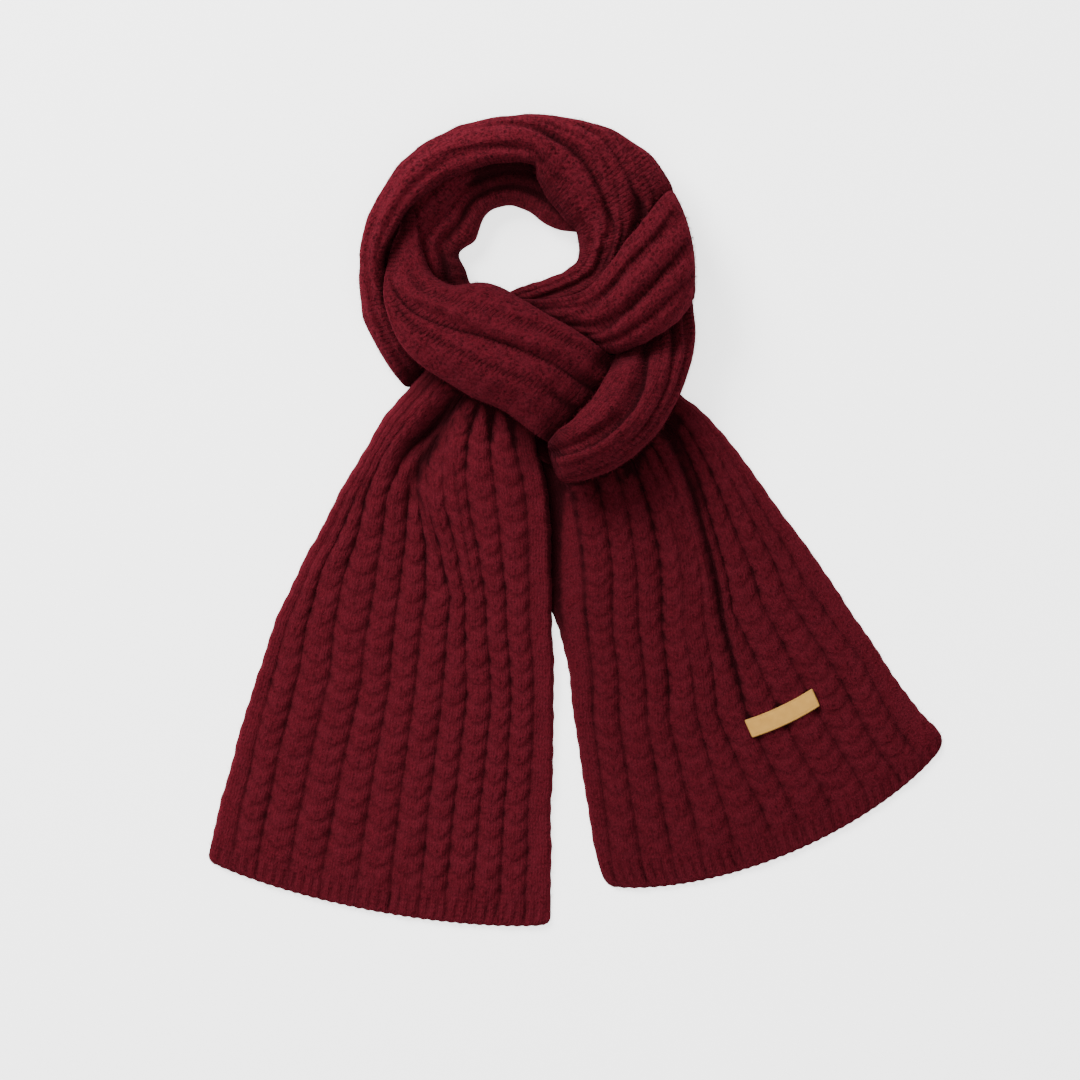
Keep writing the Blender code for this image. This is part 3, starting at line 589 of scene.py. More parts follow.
def knit_stitches(uv, sway):
    """Height of the V-shaped stitches from 0 to 1, and the lines between their courses.

    Each has two legs, sin(pi frac(2 wale)) across, and slants towards the middle of its
    wale, sin(pi frac(course + 0.6 |2 frac(wale) - 1|)) along.
    """
    wale = uv.node("ShaderNodeSeparateXYZ", None, {0: uv})
    course = Shade(uv.tree, wale.socket.node.outputs[1]) + sway * 0.7
    wale = wale + sway * 0.5
    leg = wale.math("SINE", (wale * 2).fract() * np.pi)
    slant = abs(wale.fract() * 2 - 1) * 0.6
    loop = wale.math("SINE", (course + slant).fract() * np.pi)
    return leg * (loop * 0.6 + 0.4), abs(course.fract() - 0.5).between(0.30, 0.5)


def yarn(name, share, plain=1.0, rows=0.0, contrast=0.55, flecks=(2.3, 1.3)):
    """Brushed knit, in a share of the yarn's colour: stitches, blotches, dark flecks and fuzz,
    and the piece's painted shade, to near black in its deepest places.

    plain is the strength of its stitches, rows that of the lines between courses and
    contrast that of its flecks. flecks says how many there are to a stitch, across and
    along. Each stretch's share is set lighter or darker as painted light and shade.
    """
    material, cloth, start = finish(name, {
        "Roughness": 0.95, "Specular IOR Level": 0.0, "Sheen Weight": 0.08,
        "Sheen Roughness": 0.5, "Sheen Tint": (0.9, 0.12, 0.2, 1)})
    uv = start.node("ShaderNodeUVMap", {"uv_map": "stitch"})
    place = start.place()
    hollow = start.hollow()

    def stretched(across, along):
        """The stitch map, scaled."""
        return start.node("ShaderNodeMapping", None, {"Vector": uv, "Scale": (across, along, 1)})

    def tone(red, green, blue):
        """The stretch's colour with each part scaled."""
        return tuple(part * (share * c) for part, c in zip((red, green, blue), MAROON)) + (1,)

    stitch, line = knit_stitches(uv, start.noise(place, 260.0, 1.0, 0.6) - 0.5)
    blotch = start.noise(place, 95.0, 3.0, 0.6)
    fuzz = start.noise(place, 1100.0, 3.0, 0.75)
    fleck = start.noise(stretched(*flecks), 1.0, 2.0, 0.6)
    patches = start.noise(stretched(1.1, 0.45), 1.0, 1.0)
    dots = start.node("ShaderNodeTexVoronoi", None, {"Vector": place, "Scale": 310.0})
    specks = dots.between(0.46, 0.28) * (patches.between(0.35, 0.6) * 0.5 + 0.5)
    # the lines between courses are drawn darker where the painted shade lies
    line = line * (patches.between(0.42, 0.62) * 0.3 + hollow.between(0.03, 0.16) * 0.9) * rows

    dark = tone(0.22, 0.40, 0.32)
    light = tone(1.6, 2.1, 2.2)
    # from the ground up. columns: how much of a colour is laid over, and the colour
    coats = (
        (fleck.between(0.56, 0.38) * (contrast * 0.8), tone(0.34, 0.36, 0.36)),
        (specks * contrast ** 2, dark),
        (fuzz.between(0.50, 0.70) * 0.5, light),
        (fuzz.between(0.46, 0.30) * 0.4, dark),
        (blotch.between(0.40, 0.66) * 0.2, light),
        ((1 - stitch) * (0.18 * plain), dark),
        (line, dark),
        # painted shade: the piece's painted shade darkens the knit, to near black in the deepest
        # places
        (hollow * 0.78, dark),
        (hollow.between(0.5, 1.0) * 0.6, tone(0.10, 0.35, 0.24)),
    )
    body = tone(1.15, 1.15, 1.15)
    for cover, color in coats:
        body = start.mix(cover, body, color)
    body.feed(cloth.inputs["Base Color"])
    relief = stitch * (0.4 * plain) + fleck * 0.45 - specks * (0.6 * contrast)
    relief = relief + fuzz * 0.4 - line
    relief.bump(0.75, 0.0012).feed(cloth.inputs["Normal"])
    return material


# The main creases where the tail leaves the knot, with painted shade, and last a line of
# painted shadow along its edge beside the right tail. columns: x, y, depth, painted shade,
# half width
LEFT_FOLDS = (
    ((-76, 92, 2.5, .6, 2.6), (-80.6, 88.6, 2.8, .9, 2.8), (-86.4, 82.8, 2.8, .9, 3.2),
     (-93.6, 74.2, 2.5, .8, 3.2), (-104.4, 64.8, 2.0, .6, 2.8), (-118.8, 54, 1.2, .4, 2.6),
     (-128, 48, 0, 0, 2.6)),
    ((-86, 76, 0, 0, 3), (-92.2, 68.4, 1.2, .35, 4), (-100, 57.6, 1.6, .5, 5.5),
     (-108, 44.6, 1.6, .5, 6), (-113.8, 28.8, 1.2, .4, 5), (-118, 10, 0, 0, 4)),
    ((-92, 46, 0, 0, 1.4), (-86.4, 36, .5, .25, 1.4), (-83.5, 14.4, .8, .4, 1.4),
     (-79.2, -14.4, .8, .4, 1.4), (-72, -50.4, .5, .25, 1.4), (-68, -70, 0, 0, 1.4)),
    ((-113, 22, .4, .2, 1.4), (-111.6, 18, .8, .35, 1.5), (-104.4, -7.2, .8, .35, 1.5),
     (-95, -36, .6, .25, 1.4), (-91, -62, 0, 0, 1.4)),
    ((-100, 14.4, .3, .2, 1.2), (-93.6, -10.8, .5, .25, 1.3), (-86.4, -43.2, 0, 0, 1.2)),
    ((-62.5, 86, 1.8, 1, 2.8), (-61.6, 70, 1.6, .8, 2.4), (-59, 52, 0, 0, 2)),
    ((-50, 82, 1.8, 1, 2.8), (-46, 66, 1.4, .8, 2.4), (-42, 48, 0, 0, 2)),
    ((-24, 62, 0, 1, 3.4), (-20, 20, 0, .8, 2.6), (-18.6, -30, 0, .6, 2.0),
     (-18, -66, 0, .2, 1.5)),
)
left_skin = rib_tail("tail_left", LEFT_RAILS, LEFT_VALLEYS, LEFT_FOLDS, lobe_rise=1.1, seed=11)
left_tail = closed_tail("tail_left_knit", left_skin, yarn("left_tail_yarn", 0.90))
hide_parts("tail_left")

# ----------------------------------------------------------------------- the right tail
# The other end, the same knit and yarn. It comes out under the knot's lower band with one
# deep fold, and it fans out to the right. Its tables have the left tail's columns.
RIGHT_RAILS = (
    (-26.5, 50, 67, 97.2, 0),
    (-24, 33, 77, 88.5, 1.4),
    (-20.6, 12.2, 94.2, 75.2, 4.3),
    (-18.4, -14.4, 117, 48.4, 5.8),
    (-18.2, -43.2, 140.2, 16, 7.2),
    (-16.2, -63.4, 164, -16.4, 9.4),
    (-10.8, -80.6, 180.9, -39.6, 13),
    (-4.6, -108, 199.2, -67, 17.3),
    (-0.6, -140.4, 217.2, -94, 21.6),
    (4.6, -176.4, 234.6, -120, 25),
    (10.4, -212.4, 250.4, -140.4, 28.8),
    (16.2, -243.4, 262, -153, 29.8),
    (22.3, -262.1, 264.2, -161.6, 29.8),
)
RIGHT_VALLEYS = (
    (0, .100, .220, .340, .440, .530, .604, .671, .743, .815, .878, .941),
    (1, .116, .263, .387, .486, .570, .638, .721, .791, .874, .938, .975),
    (2, .145, .300, .418, .523, .600, .663, .758, .813, .877, .938, .975),
    (4, .153, .272, .378, .478, .565, .640, .685, .729, .812, .893, .947),
    (6, .100, .190, .285, .369, .448, .528, .592, .636, .748, .843, .923),
    (8, .058, .140, .228, .298, .389, .453, .545, .645, .751, .864, .950),
    (10, .044, .121, .204, .285, .377, .479, .561, .660, .763, .852, .929),
    (12, .026, .103, .187, .263, .351, .464, .546, .642, .750, .850, .923),
)
# The main creases and lines of painted shade, with the left tail's columns: the deep fold, two
# pockets of painted shadow under the lower band, a raised ridge painted a little lighter, the
# painted shadow of the left tail along this one's first edge, and the first valley.
RIGHT_FOLDS = (
    ((60, 74, 1.5, .4, 3.6), (62.6, 68.4, 1.8, .45, 3.8), (75.6, 46.8, 1.9, .45, 4.0),
     (86.4, 14.4, 1.8, .45, 4.0), (94.3, -18, 1.7, .5, 4.2), (103, -54, 1.6, .5, 4.2),
     (110.2, -93.6, 1.3, .45, 3.8), (121, -129.6, .9, .3, 3.4), (131, -158.4, 0, 0, 3)),
    ((48, 46, .5, .5, 4), (41, 40, 1.4, 1, 5), (36, 32, 1, .6, 3), (34, 18, 0, 0, 2.5)),
    ((74, 72, 0, .5, 5), (70, 66, .6, .6, 5), (72, 54, 0, 0, 4)),
    ((46.8, 48.2, -.8, 0, 4), (77.8, 21.6, -1.2, -.1, 5), (87.8, -9.4, -1.2, -.1, 5),
     (99.4, -62.6, -.6, 0, 4)),
    ((-21, 62, 3, 1.4, 6), (-15.8, 21.6, 3, 1.4, 6), (-15.1, -28.8, 2.8, 1.4, 5.2),
     (-13, -57.6, 2, 1.2, 4.4), (-9.5, -76, 1, .8, 3.0), (-6, -94, 0, 0, 2.2)),
    ((0, 19, .3, .3, 1.8), (4.8, -20, .5, .4, 1.8), (8.4, -76, .5, .35, 1.7),
     (12, -137, .3, .2, 1.6), (20, -170, 0, 0, 1.6)),
)
right_skin = rib_tail("tail_right", RIGHT_RAILS, RIGHT_VALLEYS, RIGHT_FOLDS,
                      lobe_rise=0.8, seed=12)
# The right tail's yarn takes a smaller share than the left's: painted shade, on the side away from
# the key light.
right_tail = closed_tail("tail_right_knit", right_skin, yarn("right_tail_yarn", 0.77))
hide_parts("tail_right")

# ---------------------------------------------------------------- the ring's outer turn
# The scarf bunched to a band, on top of the ring: ribs run along it, its inner edge is
# rolled under, and it widens on the right before it dips under the knot.
CLOTH = 2.0                             # thickness of the shell that stands for the cloth
SEAM = 0.04                             # the shell's seam, as a share, beneath its middle
UNDER_COLUMNS = 7                       # of the grid, on each side of the seam
BAND_INSET = 0.9                        # heights are read this far inside the solid's edges
PIT_DEPTH = 0.9                         # of the pits along the furrows
# Sections as the tails', with the ring's outer edge first
OUTER_RAILS = (
    (-119.9, 92.2, -103.3, 109.8, 0),
    (-124.5, 97.9, -106.6, 115.9, 0),
    (-138.8, 117.5, -112, 127, 0),
    (-151.5, 143, -122.5, 149.8, 0),
    (-154.8, 169.2, -131, 170.6, 0),
    (-154.8, 185.8, -136.4, 185.8, 0),
    (-153.2, 202, -133.2, 199.4, 0),
    (-148.6, 217.2, -125.3, 213.1, 0),
    (-141.1, 232.6, -116.6, 225.4, 0),
    (-125.6, 255.9, -98.6, 239, 0),
    (-100.6, 275, -78.5, 249.1, 0),
    (-64.8, 287.6, -52.6, 255.6, 0),
    (-32.4, 291, -31, 254.9, 0),
    (-7.2, 288.6, -27, 243.4, 0),
    (21.6, 282.2, -19.6, 230.2, 0),
    (49.5, 266.4, -9, 217, 0),
    (64.4, 250.0, 0.4, 207.4, 0),
    (71.0, 228, 2.2, 198, 0),
    (55.5, 196.5, 1.8, 188.6, 0),
    (48, 170, -5, 180.3, 0),
    (20, 151, -21.4, 173.3, 0),
    (-14, 142, -40.2, 167, 0),
    (-46, 140, -56.2, 160.6, 0),
)
# Furrows between the ribs, as shares of the way across. columns: section, one share each
OUTER_FURROWS = (
    (0, .04, .08, .12, .16, .20, .45, .75),
    (5, .01, .02, .03, .04, .06, .16, .66),
    (7, .01, .02, .03, .04, .06, .23, .74),
    (8, .01, .02, .03, .04, .08, .31, .78),
    (9, .01, .02, .03, .05, .14, .35, .86),
    (10, .01, .02, .03, .06, .26, .46, .95),
    (11, .01, .02, .03, .07, .35, .62, .95),
    (12, .01, .02, .12, .275, .44, .79, .96),
    (13, .01, .03, .18, .35, .51, .72, .96),
    (14, .03, .11, .24, .43, .59, .76, .96),
    (15, .116, .265, .40, .56, .68, .835, .97),
    (16, .19, .35, .53, .655, .77, .90, .97),
    (17, .20, .33, .54, .63, .76, .89, .97),
    (18, .18, .32, .46, .58, .70, .91, .97),
    (19, .17, .31, .45, .60, .63, .94, .97),
    (22, .15, .30, .45, .60, .63, .95, .97),
)
# columns: depth, half width, how deep its row of pits is, their pitch
OUTER_FORMS = (
    (0.7, 2.2, 0.6, 7), (1.2, 1.6, 0.4, 5), (0.9, 1.8, 0.4, 5), (1.4, 2.1, 0.2, 5),
    (0.2, 1.2, 0.5, 5), (0.4, 2.6, 0.5, 5), (0.2, 0.8, 0.3, 5),
)
# The main creases and lines of painted shade, with the columns of the tails': painted shade
# along the inner edge and down the slope beside the inner turn, a wide painted shade on the
# ring's right side, away from the key light, and a crease with painted shade on the right.
OUTER_FOLDS = (
    ((-137, 158, 0, .4, 4), (-137.5, 173, 0, .5, 4), (-134.6, 190.8, 0, .5, 4),
     (-128.9, 205.2, 0, .5, 4), (-122.4, 217.4, 0, .5, 4), (-97.2, 239, 0, .4, 3.5),
     (-54, 254.9, 0, .3, 4), (-30, 256, 0, .3, 5)),
    ((-26, 256, 0, .1, 6), (-24, 244, 0, .5, 8), (-17, 231, 0, .5, 8), (-8, 217, 0, .5, 8),
     (1, 206, 0, .3, 7)),
    ((10, 268, 0, 0, 20), (40, 245, 0, .2, 24), (66, 205, 0, .25, 24), (80, 160, 0, .25, 20)),
    ((40, 236, 0, .1, 5), (47, 222, .8, .6, 5), (49, 214, 1, .8, 5), (40, 200, .5, .5, 5)),
)


def band_grid(rails, step, columns):
    """A bunched stretch's grid: from the seam out to the first edge, over the top and back.

    Its columns lie closer towards the edges. broad goes from 0 to 1 as it widens.
    """
    places, along = evenly(rails, step)
    t = np.linspace(0, 1, columns)
    over = 0.45 * t + 0.55 * (1 - np.cos(np.pi * t)) / 2
    turn = np.linspace(0, np.pi / 2, UNDER_COLUMNS + 1)[1:]
    under = (1 - np.cos(turn)) * (0.5 - SEAM)
    width = chord_width(rails, places)
    return SimpleNamespace(
        places=places, along=along, width=width, step=step,
        across=np.concatenate([under[::-1], over, 1 - under]),
        upper=np.repeat([False, True, False], [UNDER_COLUMNS, columns, UNDER_COLUMNS]),
        to_end=np.minimum(along, along[-1] - along), broad=smooth_step(width, 20, 45))


def band_ground(node, rails, corner, at):
    """A bunched stretch's points on its solid, whose heights are read and evened out.

    Its ends are quarter circles of the corner's radius, in plan and in height.
    """
    inset = 0.5 + (at.across - 0.5) * (1 - 2 * BAND_INSET / at.width)
    sample = in_plan(rails, np.clip(at.places, 0.06, len(rails) - 1.06), inset)
    high = np.empty(inset.shape)
    high[:, at.upper] = skin_height(node, sample[:, at.upper])
    high[:, ~at.upper] = skin_height(node, sample[:, ~at.upper], above=False)
    high = blurred(high, 4.5 / at.step, 0)
    high = blurred(high, 1.3, 1) * at.broad + blurred(high, 5.0, 1) * (1 - at.broad)
    core = (high.max(axis=1) + high.min(axis=1))[:, None] / 2
    closing = rounded(at.to_end, corner)
    high = core + (high - core) * (closing * 0.97 + 0.03)
    drawn_in = np.minimum(corner * (1 - closing) / at.width, 0.42)
    plan = in_plan(rails, at.places, at.across + drawn_in * (1 - 2 * at.across))
    return np.concatenate([plan, high[..., None]], axis=-1)


def outward(points, at):
    """Normals of the evened-out sheet, made to point out, and whether that turned them."""
    even = blurred(blurred(points, 3.0 / at.step, 0), 2.0, 1)
    normal = np.cross(np.gradient(even, axis=0), np.gradient(even, axis=1))
    normal = normal / np.maximum(np.linalg.norm(normal, axis=-1, keepdims=True), 1e-9)
    turned = bool(normal[:, at.upper, 2].mean() < 0)
    return (-normal if turned else normal), turned


def furrowed(furrows, forms, rib, at):
    """Relief of a bunched stretch's ribs and furrows, and the painted shade in its furrows.

    A rib is a swell of 1 - |2 part - 1|^2.2 between two furrows, rib high at most. A furrow
    is a bell, with a slanting row of pits along it, and fades where the next one is close.
    Furrows and pits are painted with shade by their depth.
    """
    edges = with_edges(furrows, at.places)
    shares = edges[:, 1:-1]
    cell = (at.across[None, :, None] > shares[:, None, :]).sum(axis=-1)
    row = np.arange(len(edges))[:, None]
    span = np.maximum(edges[row, cell + 1] - edges[row, cell], 1e-3)
    part = np.clip((at.across - edges[row, cell]) / span, 0, 1)
    arch = (1 - np.abs(2 * part - 1) ** 2.2) * at.upper
    spread_out = (0.15 + 0.85 * at.broad) * at.upper
    relief = np.minimum(0.13 * span * at.width, rib) * (arch - 0.5) * spread_out
    hollow = np.zeros_like(relief)
    gaps = np.diff(edges, axis=1)
    for k, (depth, half, pits, pitch) in enumerate(forms):
        off = (at.across - shares[:, k:k + 1]) * at.width
        room = np.minimum(gaps[:, k], gaps[:, k + 1])[:, None] * at.width
        room = smooth_step(room, 0.8, 5.0) * spread_out
        line = bell(off, half) * room
        slant = ((at.along + off * 0.8) / pitch + 0.37 * k + 0.5) % 1.0 - 0.5
        pit = bell(off, 0.7 + half) * bell(slant, 0.2) * room * pits
        relief = relief - depth * line - PIT_DEPTH * pit
        hollow = hollow + 0.24 * depth * line + 0.5 * pit
    relief = relief + 0.3 * np.cos(2 * np.pi * at.along / LOBE) * arch
    return relief, 0.7 * np.minimum(hollow, 0.7)


def wrapped_band(node, rails, furrows, forms, folds, step, columns, seed, rib=1.3, corner=8.0):
    """A bunched stretch as one sheet carried round its solid, open along a seam beneath.

    node is its solid. rails, furrows, forms and folds are its tables of sections, furrows,
    the furrows' forms and main creases with lines of painted shade. step and columns set its
    grid. Ribs, furrows, creases and some unevenness move its points along the normals, and
    each point gets painted shade.
    """
    rng = np.random.default_rng(seed)
    at = band_grid(rails, step, columns)
    points = band_ground(node, rails, corner, at)
    relief, hollow = furrowed(furrows, forms, rib, at)
    relief = relief + 0.5 * ripple(rng, at.along, at.across * at.width, 45)
    pressed, shade = creased(points[..., :2], folds)
    relief = relief * np.clip(at.to_end / 6.0, 0, 1) - pressed * at.upper
    normal, turned = outward(points, at)
    points = points + normal * relief[..., None]
    # painted shade: furrows and pits, the folds' painted shade and the shade of the cloth round
    # about
    hollow = np.clip(hollow + shade + shut_in(points), 0, 1)
    wale = run_of(points[len(points) // 2]) / WALE
    stitch = np.stack(np.broadcast_arrays(wale, at.along / COURSE), axis=-1)
    return SimpleNamespace(points=points, stitch=stitch, hollow=hollow, turned=turned)


def wrapped_piece(name, skin, material):
    """The sheet of a bunched stretch, with the cloth's thickness inside it."""
    faces = grid_faces(*skin.hollow.shape)
    if skin.turned:
        faces = faces[:, ::-1]
    item = piece(name, skin.points.reshape(-1, 3), faces.tolist(),
                 skin.stitch.reshape(-1, 2), skin.hollow.ravel(), material)
    wall = item.modifiers.new("cloth", "SOLIDIFY")
    wall.thickness = CLOTH * 0.001
    wall.offset = -1.0
    return item


outer_skin = wrapped_band("loop_outer", OUTER_RAILS, OUTER_FURROWS, OUTER_FORMS, OUTER_FOLDS,
                          step=1.5, columns=80, seed=21, rib=1.0)
outer_turn = wrapped_piece(
    "loop_outer_knit", outer_skin,
    yarn("outer_turn_yarn", 1.0, plain=0.8, rows=0.6, contrast=1.0, flecks=(1.8, 1.6)))
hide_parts("loop_outer")

# ---------------------------------------------------------------- the ring's inner turn
# The turn beneath, bunched the same way: only its inner lip shows in the neck hole, in
# shade, with the ribs running round it and one lip folded over.
INNER_RAILS = (
    (81.4, 181.4, 46.8, 169.2, 0),
    (78.5, 207.4, 33.8, 185.8, 0),
    (68.4, 233.3, 18, 201.6, 0),
    (51, 254, 1, 206.2, 0),
    (17, 276, -17, 209.8, 0),
    (-25.2, 287, -37, 222.7, 0),
    (-62, 283.5, -51.2, 225.2, 0),
    (-99, 270.5, -64.6, 217.4, 0),
    (-126, 247, -71, 201, 0),
    (-143, 219, -82.6, 191.5, 0),
    (-149, 190, -78, 179.8, 0),
    (-144, 162, -74.6, 171, 0),
    (-122, 138, -62.6, 159.8, 0),
)
INNER_FURROWS = (
    (0, .20, .35, .48, .60, .80),
    (5, .20, .35, .47, .58, .76),
    (7, .20, .35, .47, .58, .76),
    (10, .20, .35, .45, .55, .78),
    (12, .20, .35, .45, .55, .78),
)
INNER_FORMS = (
    (0.3, 2, 0, 7), (0.6, 2.2, 0, 7), (0.3, 2, 0, 7), (0.7, 2.2, 0.2, 7), (0.9, 2.4, 0, 7),
)
# The main creases and lines of painted shade, with the columns of the tails': a crease with
# painted shade, painted shade over the turn under the outer turn's rim, a negative shade that
# paints the lit, folded-over part lighter, and painted shade on the rib along the neck hole.
INNER_FOLDS = (
    ((-62, 250, 0, .4, 7), (-74, 238, .5, .5, 7), (-84, 220, .6, .5, 7), (-90, 202, .6, .5, 7),
     (-88, 184, 0, .4, 7)),
    ((-18, 250, 0, .5, 14), (-45, 250, 0, .5, 14), (-68, 238, 0, .3, 10)),
    ((-84, 242, 0, -1.4, 9), (-96, 228, 0, -2.4, 12), (-102, 208, 0, -2.2, 11),
     (-106, 188, 0, -.6, 8)),
    ((-14, 222, 0, .4, 9), (-28, 230, 0, .35, 8), (-50, 230, 0, .35, 8), (-70, 214, 0, .3, 8),
     (-80, 196, 0, .3, 8), (-76, 176, 0, .3, 8)),
)
inner_skin = wrapped_band("loop_inner", INNER_RAILS, INNER_FURROWS, INNER_FORMS, INNER_FOLDS,
                          step=1.9, columns=56, seed=22)
# Its yarn takes more than the full share: painted light against the shade of the outer turn above
# it.
inner_turn = wrapped_piece(
    "loop_inner_knit", inner_skin,
    yarn("inner_turn_yarn", 1.2, plain=0.8, rows=0.3, contrast=0.9, flecks=(1.8, 1.6)))
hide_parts("loop_inner")

# ---------------------------------------------------------------- the knot's front band
# The scarf's other face, brushed and nearly plain, crosses the front of the knot. One
# deep groove runs along it, and its upper edge is a soft roll.
FRONT_RAILS = (
    (-126, 226.1, -116.6, 227.5, 0),
    (-126, 211.5, -112.5, 211.2, 0),
    (-132.8, 192.2, -109.4, 193, 0),
    (-137, 174.2, -101.5, 176.4, 0),
    (-136.8, 154.8, -87.8, 168.5, 0),
    (-129.6, 133.2, -69.8, 170.8, 0),
    (-115.2, 114.5, -51.4, 166.8, 0),
    (-97.2, 101.5, -34.6, 156.2, 0),
    (-74.2, 87.8, -15.8, 145.4, 0),
    (-50.4, 77, 3.6, 133.9, 0),
    (-27.4, 60.5, 22.6, 120.4, 0),
    (-8, 48.5, 40, 107, 0),
)
FRONT_FURROWS = (
    (0, .03, .08, .42),
    (2, .03, .10, .45),
    (3, .05, .118, .52),
    (4, .13, .245, .62),
    (5, .21, .332, .66),
    (6, .26, .436, .72),
    (7, .30, .53, .80),
    (8, .33, .594, .86),
    (9, .37, .62, .89),
    (11, .42, .65, .92),
)
FRONT_FORMS = ((0.7, 3.4, 0.5, 4), (1.7, 1.3, 0.1, 6), (0.6, 3.4, 0.5, 4))
# The main creases and lines of painted shade, with the columns of the tails': two lines of painted
# shade where the band meets the lower band, and a short crease on its left.
FRONT_FOLDS = (
    ((24, 102, 0, .2, 4), (32, 102, 0, .5, 5), (38, 106, 0, .7, 6)),
    ((-10, 52, 0, .7, 7), (2, 62, 0, .4, 6), (10, 74, 0, 0, 4)),
    ((-130, 158, .3, .2, 1.6), (-126, 150, .6, .4, 2.0), (-120, 142, .6, .4, 2.0),
     (-112, 134, 0, 0, 2.0)),
)
front_skin = wrapped_band("band_front", FRONT_RAILS, FRONT_FURROWS, FRONT_FORMS, FRONT_FOLDS,
                          step=1.2, columns=66, seed=23, rib=0.5)
# The knot's bands take a smaller share than the outer turn: painted shade in the knot.
front_band = wrapped_piece(
    "band_front_knit", front_skin,
    yarn("front_band_yarn", 0.82, plain=0.3, rows=0.8, contrast=0.9, flecks=(1.3, 1.5)))
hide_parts("band_front")

# ---------------------------------------------------------------- the knot's right band
# The band that comes over the ring on the right and dips under the front band: four
# ribs, with slanting pits beside the first.
RIGHT_BAND_RAILS = (
    (68.2, 238.5, 83.4, 157, -8.6),
    (59, 228, 83.4, 154.1, -6),
    (46.8, 213.1, 77.6, 146, -3),
    (32.4, 195.1, 65.5, 135.4, 0),
    (18, 175, 47.5, 125.3, 0),
    (2.9, 163.4, 28.8, 118.8, 0),
    (-19.4, 159.1, 12.2, 124, 0),
    (-38.2, 158.4, -10.8, 124, 0),
    (-51.8, 152.6, -32.4, 122.4, 0),
)
RIGHT_BAND_FURROWS = (
    (0, .045, .16, .46, .76),
    (2, .05, .21, .515, .76),
    (3, .05, .20, .55, .773),
    (4, .05, .20, .555, .771),
    (5, .08, .27, .63, .80),
    (6, .13, .42, .78, .90),
    (8, .13, .42, .78, .90),
)
RIGHT_BAND_FORMS = (
    (0.2, 0.8, 0, 7), (0.6, 2.0, 0.6, 10), (0.85, 1.8, 0.6, 7), (0.3, 2.2, 0.4, 7),
)
# Lines of painted shade on the band's end in the knot, along its first edge and across it, with
# the columns of the tails'.
RIGHT_BAND_FOLDS = (
    ((12, 170, 0, 0, 4), (1, 163, 0, .35, 4), (-12, 159, 0, .3, 4), (-28, 157, 0, .5, 4.5),
     (-40, 155, 0, .3, 4)),
    ((-22, 148, 0, .3, 3.5), (-6, 142, 0, .45, 4), (6, 140, 0, 0, 4)),
)
right_band_skin = wrapped_band("band_right", RIGHT_BAND_RAILS, RIGHT_BAND_FURROWS,
                               RIGHT_BAND_FORMS, RIGHT_BAND_FOLDS,
                               step=1.2, columns=66, seed=24, rib=1.0, corner=4.0)
# A smaller share than the outer turn: painted shade in the knot.
right_band = wrapped_piece(
    "band_right_knit", right_band_skin,
    yarn("right_band_yarn", 0.84, plain=0.7, rows=0.8, contrast=0.9, flecks=(1.3, 1.5)))
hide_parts("band_right")

# ---------------------------------------------------------------- the knot's lower band
# The band under the knot, right face out: a smooth stretch of fine stitches, a deep
# groove, then ribs round its outer side. Its end turns in between the two tails.
LOWER_RAILS = (
    (34, 146, 84, 160.6, 0),
    (31, 134, 85.4, 151, 0),
    (28.1, 118.1, 87.4, 133.2, 0),
    (23.8, 107.3, 84.6, 116.2, 0),
    (18, 97.2, 77.8, 94.6, 0),
    (10.8, 86.4, 68.4, 75.6, 0),
    (1.4, 76.3, 56.2, 57.6, 0),
    (-9.4, 67, 38.2, 41.8, 0),
    (-15.6, 61.6, 16.6, 31, 0),
    (-18.8, 57.6, -2, 26.2, 0),
    (-20.6, 54.4, -13.5, 27.4, 0),
)
LOWER_FURROWS = (
    (0, .34, .52, .66, .84),
    (2, .366, .56, .711, .859),
    (3, .443, .62, .761, .909),
    (4, .506, .67, .815, .913),
    (5, .532, .68, .81, .895),
    (6, .505, .67, .813, .885),
    (7, .487, .66, .802, .867),
    (8, .428, .63, .804, .875),
    (10, .32, .58, .80, .88),
)
LOWER_FORMS = ((1.8, 1.9, 0.1, 7), (0.1, 0.8, 0.5, 5), (1.1, 2.1, 0.3, 6), (0.8, 1.6, 0.2, 6))
# The groove at the band's end, with painted shade, and a line of painted shadow over the end
# itself, with the columns of the tails'.
LOWER_FOLDS = (
    ((-6, 51, 0, 0, 2.2), (-11, 49, .9, .3, 2.2), (-17, 48, 1.6, .6, 2.4),
     (-25, 46.5, 2, .7, 2.8)),
    ((-8, 66, 0, .2, 6), (-18, 58, 0, .8, 7), (-20, 50, 0, 1, 6), (-18, 42, 0, .8, 4.5),
     (-15, 30, 0, .7, 4.5), (-12, 23, 0, .5, 4)),
)
lower_skin = wrapped_band("band_lower", LOWER_RAILS, LOWER_FURROWS, LOWER_FORMS, LOWER_FOLDS,
                          step=1.2, columns=66, seed=25, rib=1.3, corner=5.5)
# A smaller share than the outer turn: painted shade in the knot.
lower_band = wrapped_piece(
    "band_lower_knit", lower_skin,
    yarn("lower_band_yarn", 0.82, plain=1.1, rows=0.7, contrast=0.9, flecks=(1.6, 1.5)))
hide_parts("band_lower")

